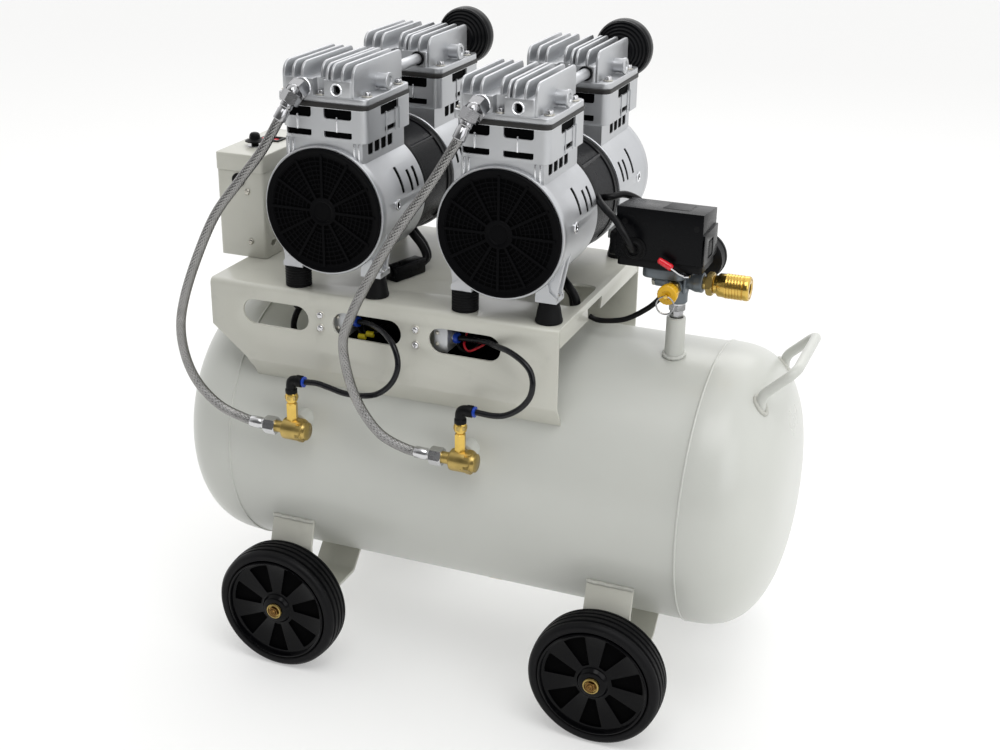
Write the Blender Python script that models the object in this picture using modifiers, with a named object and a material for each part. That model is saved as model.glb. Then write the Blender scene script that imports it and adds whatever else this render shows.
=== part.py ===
"""Oil-free twin-pump air compressor on a 50 litre wheeled tank.

Metres, +Z up. X runs along the tank with the air outlet at +X, -Y is the side with the hoses and
check valves, and the wheels stand on z = 0 around the middle of the object.
"""

import math

import bmesh
import bpy
from mathutils import Matrix, Vector

# ---- driving dimensions -------------------------------------------------------------------
GAP = 0.0003  # air between two pieces that touch

TANK_RADIUS = 0.150
TANK_Z = 0.2317  # height of the tank's axis
TANK_WALL = 0.003
TANK_STEPS = 28
SEAM_LEFT_X = -0.2555
SEAM_RIGHT_X = 0.2480
DOME_DEPTH = 0.083
DOME_POWER = 2.7  # 2 would be an ellipse; more gives the flatter face of a dished end

WHEEL_RADIUS = 0.0712
WHEEL_WIDTH = 0.0376
WHEEL_OUTER_Y = 0.1830
WHEEL_SEGMENTS = 24
WHEEL_X = {"left": -0.1870, "right": 0.1775}
AXLE_RADIUS = 0.0050
AXLE_END_Y = 0.1876

STRAP_WIDTH = 0.050
STRAP_THICK = 0.0040
STRAP_LEG_Y = 0.1395  # middle of the leg's thickness
STRAP_BOTTOM_Z = 0.0520

PLATFORM_LEFT_X = -0.2740
PLATFORM_RIGHT_X = 0.1146
PLATFORM_HALF_Y = 0.1335
PLATFORM_TOP_Z = 0.4272
PLATFORM_BEND_Z = 0.3427
SHEET = 0.0030
SLOT_X = (-0.1970, -0.0920, 0.0160)
SLOT_LENGTH = 0.0775
SLOT_HEIGHT = 0.0270
SLOT_Z = 0.3970

PUMP_X = {"left": -0.1345, "right": 0.0530}
PUMP_Z = 0.5170
CASE_RADIUS = 0.0652
CASE_WALL = 0.0035
CASE_NEAR_Y = 0.0370  # stator end of a crankcase
CASE_FAR_Y = 0.1370  # fan end of a crankcase
GRILLE_RADIUS = 0.0631
FOOT_X = 0.0443
FOOT_Y = 0.1140
HEAD_Y = {"front": (-0.1340, -0.0300), "rear": (0.0410, 0.1490)}  # the rear head sits further out
CHAMBER_REAR_Y = {"front": -0.0225, "rear": 0.1470}
NECK_TOP_Z = 0.0705
CYLINDER_TOP_Z = 0.1030
FLANGE_TOP_Z = 0.1135
CHAMBER_TOP_Z = 0.1295
FIN_TOP_Z = 0.1445
FIN_X = (-0.0425, -0.0323, -0.0225, -0.0064, 0.0046, 0.0100, 0.0210, 0.0322)
FIN_THICK = 0.0028
BORE_RADIUS = 0.0265
CRANK_OFFSET = 0.0070
CRANK_RADIUS = 0.0135
CRANK_Y = 0.0850
BIG_END_BORE = 0.0290
BLADES = 4

OUTLET_X = 0.2023
OUTLET_Y = -0.0280
OUTLET_ARM_Z = 0.4585
VALVE_STEM_X = 0.2168
LEVER_Z = 0.4726
SWITCH_LOW_Z = 0.4745
SAFETY_Z = 0.4553

COLLECTION = "air_compressor"
STEPS = 24


# ---- scene and helpers --------------------------------------------------------------------
def clear_scene():
    for item in list(bpy.data.objects):
        bpy.data.objects.remove(item, do_unlink=True)


def new_collection(name):
    found = bpy.data.collections.new(name)
    bpy.context.scene.collection.children.link(found)
    return found


clear_scene()
PARTS = new_collection(COLLECTION)
CUTTERS = new_collection("cutters")
CUTTERS.hide_render = True


def material(name, colour, roughness, metallic=0.0):
    made = bpy.data.materials.new(name)
    made.use_nodes = True
    shader = made.node_tree.nodes["Principled BSDF"]
    shader.inputs["Base Color"].default_value = (*colour, 1.0)
    shader.inputs["Roughness"].default_value = roughness
    shader.inputs["Metallic"].default_value = metallic
    made.diffuse_color = (*colour, 1.0)
    return made


CREAM = material("cream_paint", (0.78, 0.77, 0.70), 0.35)
CAST = material("cast_aluminium", (0.62, 0.63, 0.64), 0.42, 0.9)
STATOR = material("dark_paint", (0.06, 0.06, 0.065), 0.5)
BLACK = material("black_plastic", (0.02, 0.02, 0.022), 0.4)
RUBBER = material("black_rubber", (0.025, 0.025, 0.025), 0.75)
STEEL = material("bright_steel", (0.66, 0.66, 0.67), 0.25, 1.0)
BRASS = material("brass", (0.78, 0.55, 0.22), 0.25, 1.0)
ZINC = material("grey_zinc_casting", (0.30, 0.32, 0.34), 0.45, 0.6)
RED = material("red_plastic", (0.65, 0.02, 0.02), 0.4)
YELLOW = material("yellow_plastic", (0.85, 0.50, 0.02), 0.4)
BRAID = material("steel_braid", (0.55, 0.55, 0.56), 0.35, 0.9)


def add_object(name, mesh, mat=None, cutter=False):
    made = bpy.data.objects.new(name, mesh)
    (CUTTERS if cutter else PARTS).objects.link(made)
    if cutter:
        made.hide_render = True
        made.display_type = "WIRE"
    else:
        made.data.materials.append(mat)
    return made


def from_bmesh(name, shape, mat=None, cutter=False):
    mesh = bpy.data.meshes.new(name)
    bmesh.ops.recalc_face_normals(shape, faces=shape.faces)
    shape.to_mesh(mesh)
    shape.free()
    return add_object(name, mesh, mat, cutter)


def box(name, low, high, mat=None, cutter=False):
    """A box between two opposite corners."""
    low, high = Vector(low), Vector(high)
    shape = bmesh.new()
    size = Matrix.Diagonal((*(high - low), 1.0))
    bmesh.ops.create_cube(shape, size=1.0, matrix=Matrix.Translation((low + high) / 2) @ size)
    return from_bmesh(name, shape, mat, cutter)


AXIS_TURN = {
    "X": Matrix.Rotation(math.radians(90), 4, "Y"),
    "Y": Matrix.Rotation(math.radians(-90), 4, "X"),
    "Z": Matrix.Identity(4),
}


def rod(name, start, axis, length, radius, mat=None, cutter=False, end_radius=None, sides=12, roll=0.0):
    """A cylinder, cone or prism from a point along an axis."""
    shape = bmesh.new()
    direction = AXIS_TURN[axis] @ Vector((0, 0, 1))
    place = Matrix.Translation(Vector(start) + direction * length / 2) @ AXIS_TURN[axis]
    place = place @ Matrix.Rotation(roll, 4, "Z")
    bmesh.ops.create_cone(
        shape,
        cap_ends=True,
        segments=sides,
        radius1=radius,
        radius2=radius if end_radius is None else end_radius,
        depth=length,
        matrix=place,
    )
    return from_bmesh(name, shape, mat, cutter)


def turned(name, profile, axis, at, mat=None, cutter=False, steps=STEPS, roll=0.0):
    """A closed profile of (radius, height) points, running down its outer side, turned about an axis."""
    mesh = bpy.data.meshes.new(name)
    points = [(r * math.cos(roll), r * math.sin(roll), h) for r, h in profile]
    count = len(points)
    closed = all(r > 0 for r, _ in profile)
    edges = [(i, i + 1) for i in range(count - 1)] + ([(count - 1, 0)] if closed else [])
    mesh.from_pydata(points, edges, [])
    made = add_object(name, mesh, mat, cutter)
    screw = made.modifiers.new("turn", "SCREW")
    screw.steps = steps
    screw.render_steps = steps
    screw.use_merge_vertices = True
    screw.merge_threshold = 0.00001
    screw.use_normal_calculate = False
    made.matrix_world = Matrix.Translation(at) @ AXIS_TURN[axis]
    return made


def bake(item):
    """Applies an object's modifiers and place to its mesh, so that it can join a union in world space."""
    bpy.context.view_layer.update()
    graph = bpy.context.evaluated_depsgraph_get()
    mesh = bpy.data.meshes.new_from_object(item.evaluated_get(graph))
    mesh.transform(item.matrix_world)
    old = item.data
    item.modifiers.clear()
    item.data = mesh
    item.matrix_world = Matrix.Identity(4)
    if old.users == 0:
        bpy.data.meshes.remove(old)
    return item


def combine(target, others, operation="UNION"):
    """Joins shapes to the target or cuts them from it, one Boolean each, and keeps the result as its mesh."""
    for other in others:
        if other.name in PARTS.objects:
            PARTS.objects.unlink(other)
            CUTTERS.objects.link(other)
            other.hide_render = True
            other.display_type = "WIRE"
        step = target.modifiers.new(operation.lower(), "BOOLEAN")
        step.operation = operation
        step.object = other
    bake(target)
    for other in others:
        bpy.data.objects.remove(other, do_unlink=True)
    return target


def cut(target, others):
    return combine(target, others, "DIFFERENCE")


def sheet(name, outline, low_x, high_x, thick, mat):
    """A bent sheet: an open outline of (y, z) points along the middle of the metal, drawn out along X."""
    mesh = bpy.data.meshes.new(name)
    points = [(x, y, z) for x in (low_x, high_x) for y, z in outline]
    count = len(outline)
    faces = [(i, i + 1, count + i + 1, count + i) for i in range(count - 1)]
    mesh.from_pydata(points, [], faces)
    made = add_object(name, mesh, mat)
    solid = made.modifiers.new("metal", "SOLIDIFY")
    solid.thickness = thick
    solid.offset = 0.0
    solid.use_even_offset = True
    return bake(made)


def obround(name, centre, length, height, depth):
    """A slot cutter through a wall that faces Y."""
    x, y, z = centre
    half = (length - height) / 2
    made = box(
        name,
        (x - half, y - depth / 2, z - height / 2),
        (x + half, y + depth / 2, z + height / 2),
        None,
        True,
    )
    ends = [
        rod(
            f"{name}_end_{side}",
            (x + side * half, y - depth / 2, z),
            "Y",
            depth,
            height / 2,
            None,
            True,
            sides=12,
        )
        for side in (-1, 1)
    ]
    return combine(made, ends)


def smooth_route(points, spacing):
    """Points about a spacing apart on a smooth curve through the given ones."""
    knots = [Vector(p) for p in points]
    knots = [2 * knots[0] - knots[1]] + knots + [2 * knots[-1] - knots[-2]]
    route = [knots[1]]
    for before, a, b, after in zip(knots, knots[1:], knots[2:], knots[3:]):
        pieces = max(1, round((b - a).length / spacing))
        for i in range(1, pieces + 1):
            t = i / pieces
            route.append(
                0.5
                * (
                    2 * a
                    + (b - before) * t
                    + (2 * before - 5 * a + 4 * b - after) * t**2
                    + (3 * a - before - 3 * b + after) * t**3
                )
            )
    return route


def tube(name, route, radius, mat, resolution=2):
    curve = bpy.data.curves.new(name, "CURVE")
    curve.dimensions = "3D"
    curve.bevel_depth = radius
    curve.bevel_resolution = resolution
    curve.use_fill_caps = True
    spline = curve.splines.new("POLY")
    spline.points.add(len(route) - 1)
    for point, place in zip(spline.points, route):
        point.co = (*place, 1.0)
    made = bpy.data.objects.new(name, curve)
    PARTS.objects.link(made)
    curve.materials.append(mat)
    return made


def curve_to_mesh(item):
    bpy.context.view_layer.update()
    graph = bpy.context.evaluated_depsgraph_get()
    mesh = bpy.data.meshes.new_from_object(item.evaluated_get(graph))
    shape = bmesh.new()
    shape.from_mesh(mesh)
    bmesh.ops.remove_doubles(shape, verts=shape.verts, dist=0.00001)
    shape.to_mesh(mesh)
    shape.free()
    name = item.name
    place = item.matrix_world.copy()
    bpy.data.objects.remove(item, do_unlink=True)
    made = bpy.data.objects.new(name, mesh)
    PARTS.objects.link(made)
    made.matrix_world = place
    return made


def set_origin(item, point):
    """Puts an object's origin on its joint's axis without moving its shape."""
    item.data.transform(Matrix.Translation(-Vector(point)))
    item.location = point


# ---- tank ---------------------------------------------------------------------------------
def dome_outline(radius, depth, points=5):
    """(radius, distance past the seam) from the middle of a dished end to its seam."""
    angles = [math.radians(90) * i / (points - 1) for i in range(points)]
    return [
        (radius * math.sin(a) ** (2 / DOME_POWER), depth * math.cos(a) ** (2 / DOME_POWER))
        for a in angles
    ]


def tank_profile(radius, depth):
    right = [(r, SEAM_RIGHT_X + d) for r, d in dome_outline(radius, depth)]
    left = [(r, SEAM_LEFT_X - d) for r, d in reversed(dome_outline(radius, depth))]
    return right + left


def tank_solid(name, grow=0.0):
    """The tank's outer form as one solid, larger all round by grow."""
    return bake(
        turned(
            name,
            tank_profile(TANK_RADIUS + grow, DOME_DEPTH + grow),
            "X",
            (0, 0, TANK_Z),
            None,
            True,
            TANK_STEPS,
        ),
    )


CHECK_VALVE_X = {"left": -0.1590, "right": 0.0306}
CHECK_VALVE_Z = 0.2860
BOSS_SHIFT_X = -0.0060
CHECK_VALVE_Y = -0.1650
RISER_TOP_Z = 0.4195
DRAIN_X = 0.0


def build_tank():
    tank = bake(
        turned(
            "tank_shell",
            tank_profile(TANK_RADIUS, DOME_DEPTH),
            "X",
            (0, 0, TANK_Z),
            CREAM,
            steps=TANK_STEPS,
        ),
    )
    riser = rod(
        "riser", (OUTLET_X, OUTLET_Y, TANK_Z + 0.140), "Z", RISER_TOP_Z - TANK_Z - 0.140, 0.0098, None, True
    )
    drain_boss = rod("drain_boss", (DRAIN_X, 0, 0.0790), "Z", 0.012, 0.012, None, True)
    bosses = [
        rod(f"{side}_boss", (x + BOSS_SHIFT_X, -0.1520, CHECK_VALVE_Z), "Y", 0.022, 0.0110, None, True)
        for side, x in CHECK_VALVE_X.items()
    ]
    combine(tank, [riser, drain_boss, *bosses])
    inside = tank_profile(TANK_RADIUS - TANK_WALL, DOME_DEPTH - 2 * TANK_WALL)
    hollow = bake(turned("hollow", inside, "X", (0, 0, TANK_Z), None, True, TANK_STEPS - 8))
    ports = [
        rod("riser_bore", (OUTLET_X, OUTLET_Y, TANK_Z + 0.120), "Z", 0.080, 0.0065, None, True),
        rod("drain_bore", (DRAIN_X, 0, 0.070), "Z", 0.030, 0.0052, None, True),
    ]
    ports += [
        rod(f"{side}_bore", (x + BOSS_SHIFT_X, -0.160, CHECK_VALVE_Z), "Y", 0.040, 0.0055, None, True)
        for side, x in CHECK_VALVE_X.items()
    ]
    return cut(tank, [hollow, *ports])


def build_handle():
    """The bent tube that the compressor is pulled by, welded to the right end."""
    foot_x, out_x, half = 0.3000, 0.3315, 0.0570
    route = [
        (foot_x, -half, 0.3300),
        (foot_x, -half, 0.3560),
        (foot_x + 0.0050, -half, 0.3660),
        (out_x - 0.0060, -half, 0.3860),
        (out_x, -half + 0.0100, 0.3900),
        (out_x, half - 0.0100, 0.3900),
        (out_x - 0.0060, half, 0.3860),
        (foot_x + 0.0050, half, 0.3660),
        (foot_x, half, 0.3560),
        (foot_x, half, 0.3300),
    ]
    handle = curve_to_mesh(tube("handle", [Vector(p) for p in route], 0.0070, CREAM, 2))
    return cut(handle, [tank_solid("handle_trim", GAP)])


def build_drain_cock():
    """The wing screw that lets water out of the tank's lowest point; it turns about its own axis."""
    stem = rod("drain_cock", (DRAIN_X, 0, 0.0600), "Z", 0.0290, 0.0046, BRASS, sides=16)
    hexagon = rod("hexagon", (DRAIN_X, 0, 0.0700), "Z", 0.0078, 0.0080, None, True, sides=6)
    wing = box("wing", (DRAIN_X - 0.0110, -0.0015, 0.0560), (DRAIN_X + 0.0110, 0.0015, 0.0660), None, True)
    combine(stem, [hexagon, wing])
    set_origin(stem, (DRAIN_X, 0, 0.070))
    return stem


# ---- running gear -------------------------------------------------------------------------
AXLE_Z = WHEEL_RADIUS * math.cos(math.pi / WHEEL_SEGMENTS)


def build_strap(side):
    """A bent flat bar under the tank, welded to it at both tabs and in the middle, with its axle."""
    x = WHEEL_X[side]
    tab_y = 0.1270
    tab_z = TANK_Z - math.sqrt((TANK_RADIUS + STRAP_THICK) ** 2 - tab_y**2)
    rest_z = TANK_Z - TANK_RADIUS - STRAP_THICK / 2 - GAP
    half = [
        (tab_y + 0.0030, tab_z + 0.0130),
        (STRAP_LEG_Y, tab_z - 0.0120),
        (STRAP_LEG_Y, STRAP_BOTTOM_Z + 0.0060),
        (STRAP_LEG_Y - 0.0060, STRAP_BOTTOM_Z),
        (0.0420, STRAP_BOTTOM_Z),
        (0.0160, rest_z),
    ]
    outline = [(-y, z) for y, z in half] + [(y, z) for y, z in reversed(half)]
    low, high = x - STRAP_WIDTH / 2, x + STRAP_WIDTH / 2
    strap = sheet(f"wheel_strap_{side}", outline, low, high, STRAP_THICK, CREAM)
    stubs = []
    for sign in (-1, 1):
        start = STRAP_LEG_Y if sign > 0 else -AXLE_END_Y
        length = AXLE_END_Y - STRAP_LEG_Y
        stubs.append(rod(f"stub_{sign}", (x, start, AXLE_Z), "Y", length, AXLE_RADIUS, None, True))
        nut_start = AXLE_END_Y - 0.0040 if sign > 0 else -AXLE_END_Y
        stubs.append(rod(f"nut_{sign}", (x, nut_start, AXLE_Z), "Y", 0.0040, 0.0085, None, True, sides=6))
    combine(strap, stubs)
    return cut(strap, [tank_solid("strap_trim", GAP)])


def build_wheel(end, side):
    """A plastic wheel with a rubber tyre, turned about its own axle."""
    sign = -1 if end == "front" else 1
    half = WHEEL_WIDTH / 2
    bore = AXLE_RADIUS + 0.0001
    outer = [
        (0.0150, 0.0170),
        (0.0190, 0.0080),
        (0.0500, 0.0080),
        (0.0540, half),
        (WHEEL_RADIUS, half - 0.0020),
    ]
    profile = [(bore, 0.0170)] + outer + [(r, -h) for r, h in reversed(outer)] + [(bore, -0.0170)]
    centre = (WHEEL_X[side], sign * (WHEEL_OUTER_Y - half), AXLE_Z)
    wheel = turned(
        f"wheel_{end}_{side}",
        profile,
        "Y",
        centre,
        RUBBER,
        steps=WHEEL_SEGMENTS,
        roll=math.pi / WHEEL_SEGMENTS,
    )
    return wheel


# ---- platform and control box -------------------------------------------------------------
def build_platform():
    """The bent sheet on top of the tank that carries both pumps."""
    mid = PLATFORM_HALF_Y - SHEET / 2
    top = PLATFORM_TOP_Z - SHEET / 2
    half = [(0.1180, 0.3190), (mid, PLATFORM_BEND_Z), (mid, top)]
    outline = [(-y, z) for y, z in half] + [(y, z) for y, z in reversed(half)]
    plate = sheet("platform", outline, PLATFORM_LEFT_X, PLATFORM_RIGHT_X, SHEET, CREAM)
    flange_low = (PLATFORM_RIGHT_X - SHEET, -PLATFORM_HALF_Y + 0.001, PLATFORM_TOP_Z - 0.0160)
    flange_high = (PLATFORM_RIGHT_X, PLATFORM_HALF_Y - 0.001, PLATFORM_TOP_Z - 0.0010)
    combine(plate, [box("flange", flange_low, flange_high, None, True)])
    cutters = []
    for sign in (-1, 1):
        for i, x in enumerate(SLOT_X):
            cutters.append(
                obround(f"slot_{i}_{sign}", (x, sign * mid, SLOT_Z), SLOT_LENGTH, SLOT_HEIGHT, 0.020)
            )
    cutters.append(box("cable_hole", (0.0800, -0.0600, 0.4000), (0.1300, -0.0050, 0.4400), None, True))
    chamfer = box("chamfer", (-0.030, -0.200, -0.030), (0.030, 0.200, 0.030), None, True)
    chamfer.matrix_world = Matrix.Translation((PLATFORM_LEFT_X - 0.0030, 0, 0.3330)) @ Matrix.Rotation(
        math.radians(45), 4, "Y"
    )
    bake(chamfer)
    return cut(plate, [*cutters, chamfer, tank_solid("platform_trim", GAP)])


BOX_LOW = (-0.3065, -0.0570, PLATFORM_TOP_Z + GAP)
BOX_HIGH = (-0.2503, 0.0630, 0.5415)
ROCKER_AT = (-0.2790, 0.0150)
RESET_AT = (-0.2810, -0.0180)


def build_control_box():
    case = box("control_box", BOX_LOW, BOX_HIGH, CREAM)
    wall = 0.0020
    inner_low = [v + wall for v in BOX_LOW]
    inner_high = [v - wall for v in BOX_HIGH]
    x, y = ROCKER_AT
    low, high = BOX_HIGH[2] - 0.010, BOX_HIGH[2] + 0.010
    cutters = [
        box("hollow", inner_low, inner_high, None, True),
        box("rocker_hole", (x - 0.0105, y - 0.0075, low), (x + 0.0105, y + 0.0075, high), None, True),
        rod("reset_hole", (*RESET_AT, low), "Z", high - low, 0.0045, None, True),
        rod("cable_hole", (-0.2800, BOX_LOW[1] - 0.005, 0.5130), "Y", 0.010, 0.0060, None, True),
        rod("side_hole", (BOX_HIGH[0] - 0.005, -0.0420, 0.4420), "X", 0.010, 0.0050, None, True),
    ]
    return cut(case, cutters)


def build_rocker():
    """The on/off rocker, which tips about an axis along Y in the box's top."""
    x, y = ROCKER_AT
    pivot_z = BOX_HIGH[2] - 0.0010
    body = rod("rocker_switch", (x, y - 0.0060, pivot_z - 0.0050), "Y", 0.0120, 0.0096, RED, sides=24)
    trims = [
        box(
            "below",
            (x - 0.020, y - 0.010, pivot_z - 0.020),
            (x + 0.020, y + 0.010, pivot_z - 0.0040),
            None,
            True,
        ),
        rod("dish", (x, y - 0.010, pivot_z + 0.0215), "Y", 0.020, 0.0190, None, True, sides=32),
    ]
    cut(body, trims)
    set_origin(body, (x, y, pivot_z))
    return body


def build_reset_button():
    """The dome of the overload reset, which is pressed into the box's top."""
    x, y = RESET_AT
    top = BOX_HIGH[2]
    profile = [
        (0.0, 0.0150),
        (0.0045, 0.0140),
        (0.0070, 0.0070),
        (0.0095, 0.0065),
        (0.0095, 0.0045),
        (0.0040, 0.0045),
        (0.0040, -0.0080),
        (0.0, -0.0080),
    ]
    return turned("reset_button", profile, "Z", (x, y, top), BLACK, steps=14)


# ---- pumps --------------------------------------------------------------------------------
def ring_profile(outer, inner, low, high):
    return [(inner, high), (outer, high), (outer, low), (inner, low)]


def place_pump_part(item, side):
    """Moves a part that is drawn around the pump's own axis to its pump."""
    item.parent = PUMP_EMPTY[side]
    return item


def build_crankcase(side, end):
    """A die-cast half of the pump: round case, neck for the cylinder, and two lugs for the feet."""
    sign = -1 if end == "front" else 1
    low = -CASE_FAR_Y if sign < 0 else CASE_NEAR_Y
    high = -CASE_NEAR_Y if sign < 0 else CASE_FAR_Y
    case = rod(f"{side}_crankcase_{end}", (0, low, 0), "Y", high - low, CASE_RADIUS, CAST, sides=STEPS)
    neck_low, neck_high = sorted((sign * (CASE_NEAR_Y + 0.0012), sign * (CASE_FAR_Y - 0.0050)))
    extras = [box("neck", (-0.0420, neck_low, 0.0475), (0.0420, neck_high, NECK_TOP_Z), None, True)]
    for foot_sign in (-1, 1):
        x, y = foot_sign * FOOT_X, sign * FOOT_Y
        lug_low, lug_high = (x - 0.0110, y - 0.0110, -0.0672), (x + 0.0110, y + 0.0110, -0.0450)
        extras.append(box(f"lug_{foot_sign}", lug_low, lug_high, None, True))
    combine(case, extras)
    # The rear half is closed by its own end wall; the front half is open behind the fan's guard.
    clear_low, clear_high = (low - 0.010, high + 0.010) if sign < 0 else (low - 0.010, high - CASE_WALL)
    clear_length = clear_high - clear_low
    clear = rod(
        "clear", (0, clear_low, 0), "Y", clear_length, CASE_RADIUS - CASE_WALL, None, True, sides=STEPS
    )
    opening = rod("opening", (0, sign * CRANK_Y, 0.030), "Z", 0.060, BORE_RADIUS + 0.0015, None, True)
    return cut(case, [clear, opening])


def build_stator(side):
    profile = ring_profile(0.0622, 0.0362, -CASE_NEAR_Y + GAP, CASE_NEAR_Y - GAP)
    return turned(f"{side}_stator", profile, "Y", (0, 0, 0), STATOR, steps=STEPS)


def build_rotor(side):
    """Shaft, rotor core, two cranks and two fans, which turn as one."""
    core, shaft = 0.0350, 0.0060
    half_core, half_shaft = 0.0340, 0.1315
    profile = [
        (0.0, half_shaft),
        (shaft, half_shaft),
        (shaft, half_core),
        (core, half_core),
        (core, -half_core),
        (shaft, -half_core),
        (shaft, -half_shaft),
        (0.0, -half_shaft),
    ]
    rotor = bake(turned(f"{side}_rotor", profile, "Y", (0, 0, 0), STEEL, steps=12))
    pieces = []
    for sign in (-1, 1):
        y = sign * CRANK_Y
        pieces.append(
            rod(f"crank_{sign}", (CRANK_OFFSET, y - 0.0060, 0), "Y", 0.0120, CRANK_RADIUS, None, True)
        )
        pieces.append(rod(f"hub_{sign}", (0, sign * 0.1235 - 0.0060, 0), "Y", 0.0120, 0.0170, None, True))
        for i in range(BLADES):
            blade = box(
                "blade",
                (0.0120, sign * 0.1235 - 0.0045, -0.0012),
                (0.0560, sign * 0.1235 + 0.0045, 0.0012),
                None,
                True,
            )
            blade.name = f"blade_{sign}_{i}"
            blade.matrix_world = Matrix.Rotation(i * math.tau / BLADES, 4, "Y")
            bake(blade)
            pieces.append(blade)
    return combine(rotor, pieces)


def build_grille(side):
    """The round guard in front of the front fan, with a raised rim and hub."""
    low, high = -CASE_FAR_Y - 0.0031, -CASE_FAR_Y - GAP
    face = low + 0.0010
    profile = [
        (0.0, high),
        (GRILLE_RADIUS, high),
        (GRILLE_RADIUS, low),
        (0.0550, low),
        (0.0545, face),
        (0.0145, face),
        (0.0140, low),
        (0.0, low),
    ]
    return turned(f"{side}_fan_grille", profile, "Y", (0, 0, 0), BLACK, steps=STEPS)


def build_cylinder(side, end):
    """The finned block with the bore that one piston runs in."""
    sign = -1 if end == "front" else 1
    low, high = HEAD_Y[end]
    block = box(
        f"{side}_cylinder_{end}", (-0.0432, low, NECK_TOP_Z + GAP), (0.0470, high, CYLINDER_TOP_Z), CAST
    )
    bevel = block.modifiers.new("corners", "BEVEL")
    bevel.width = 0.0050
    bevel.segments = 2
    bevel.limit_method = "ANGLE"
    bake(block)
    bore = rod("bore", (0, sign * CRANK_Y, 0.050), "Z", 0.070, BORE_RADIUS, None, True, sides=20)
    return cut(block, [bore])


def build_head(side, end):
    """The cylinder head: flange, raised chamber with a screw well, eight fins, side boss and port."""
    low, high = HEAD_Y[end]
    back = CHAMBER_REAR_Y[end]
    flange = box(
        f"{side}_head_{end}",
        (-0.0430, low + 0.0005, CYLINDER_TOP_Z + GAP),
        (0.0470, high - 0.0005, FLANGE_TOP_Z),
        CAST,
    )
    chamber = box(
        "chamber",
        (-0.0420, low + 0.0020, FLANGE_TOP_Z - 0.001),
        (0.0345, back, CHAMBER_TOP_Z),
        None,
        True,
    )
    pieces = [chamber]
    for i, x in enumerate(FIN_X):
        pieces.append(
            box(
                f"fin_{i}",
                (x - FIN_THICK / 2, low + 0.0035, CHAMBER_TOP_Z - 0.002),
                (x + FIN_THICK / 2, back - 0.0015, FIN_TOP_Z),
                None,
                True,
            ),
        )
    pieces.append(rod("boss", (0.0300, (low + high) / 2 + 0.004, 0.1230), "X", 0.0165, 0.0075, None, True))
    if end == "front":
        pieces.append(
            rod("union", (-0.0225, low - 0.0160, 0.1200), "Y", 0.0200, 0.0095, None, True, sides=12)
        )
        pieces.append(
            rod("elbow", (-0.0280, low - 0.0180, 0.1080), "Z", 0.0150, 0.0072, None, True, sides=12)
        )
    combine(flange, pieces)
    well = box(
        "well", (-0.0105, low - 0.005, FLANGE_TOP_Z), (0.0015, low + 0.0110, FIN_TOP_Z + 0.005), None, True
    )
    return cut(flange, [well])


def build_piston(side, end):
    """Piston with its rod and big end; the ring around the crank has clearance."""
    sign = -1 if end == "front" else 1
    y = sign * CRANK_Y
    ring = bake(
        turned(
            f"{side}_piston_{end}",
            ring_profile(BIG_END_BORE + 0.0040, BIG_END_BORE, -0.0045, 0.0045),
            "Y",
            (0, y, 0),
            STEEL,
            steps=16,
        ),
    )
    pieces = [
        box("rod", (-0.0070, y - 0.0040, BIG_END_BORE + 0.002), (0.0070, y + 0.0040, 0.0780), None, True),
        rod("crown", (0, y, 0.0760), "Z", 0.0100, BORE_RADIUS - 0.0010, None, True, sides=16),
    ]
    return combine(ring, pieces)


def build_transfer_pipe(side):
    """The air pipe from the rear head to the front head."""
    start = CHAMBER_REAR_Y["front"] + GAP
    length = HEAD_Y["rear"][0] + 0.0020 - GAP - start
    return rod(f"{side}_transfer_pipe", (0.0220, start, 0.1230), "Y", length, 0.0055, CAST, sides=16)


def build_intake_filter(side):
    """The stepped black filter housing on the rear head's back face."""
    start = CHAMBER_REAR_Y["rear"] + GAP
    profile = [
        (0.0, 0.0360),
        (0.0285, 0.0360),
        (0.0315, 0.0330),
        (0.0315, 0.0210),
        (0.0250, 0.0185),
        (0.0190, 0.0110),
        (0.0185, 0.0065),
        (0.0085, 0.0060),
        (0.0085, 0.0),
        (0.0, 0.0),
    ]
    return turned(f"{side}_intake_filter", profile, "Y", (0.0210, start, 0.1270), BLACK, steps=18)


def build_foot(side, end, hand):
    """A rubber isolator between a crankcase lug and the platform."""
    x = -FOOT_X if hand == "left" else FOOT_X
    y = -FOOT_Y if end == "front" else FOOT_Y
    low = PLATFORM_TOP_Z - PUMP_Z + GAP
    height = -0.0672 - GAP - low
    return rod(f"{side}_foot_{end}_{hand}", (x, y, low), "Z", height, 0.0137, RUBBER, end_radius=0.0122)


# ---- air outlet ---------------------------------------------------------------------------
def build_manifold():
    """The grey casting on the riser: nipple, body, switch flange, outlet arm with its valve, and ports."""
    x, y = OUTLET_X, OUTLET_Y
    body = rod("manifold", (x, y, RISER_TOP_Z + GAP), "Z", 0.0180, 0.0068, ZINC)
    pieces = [
        rod("hexagon", (x, y, 0.4270), "Z", 0.0070, 0.0085, None, True, sides=6),
        rod("trunk", (x, y, 0.4360), "Z", 0.0300, 0.0100, None, True),
        box("flange", (x - 0.0330, y - 0.0220, 0.4630), (0.2115, y + 0.0230, SWITCH_LOW_Z - GAP), None, True),
        rod("arm", (x, y, OUTLET_ARM_Z), "X", 0.0257, 0.0085, None, True),
        rod("stem_boss", (VALVE_STEM_X, y, OUTLET_ARM_Z), "Z", 0.0105, 0.0050, None, True, sides=12),
        rod("collar", (x + 0.0170, y, OUTLET_ARM_Z), "X", 0.0075, 0.0102, None, True, sides=8),
        rod("safety_port", (x, y - 0.0170, SAFETY_Z), "Y", 0.0170, 0.0070, None, True),
        rod("gauge_port", (x, y, 0.4540), "Y", 0.0300, 0.0060, None, True),
    ]
    return combine(body, pieces)


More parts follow.
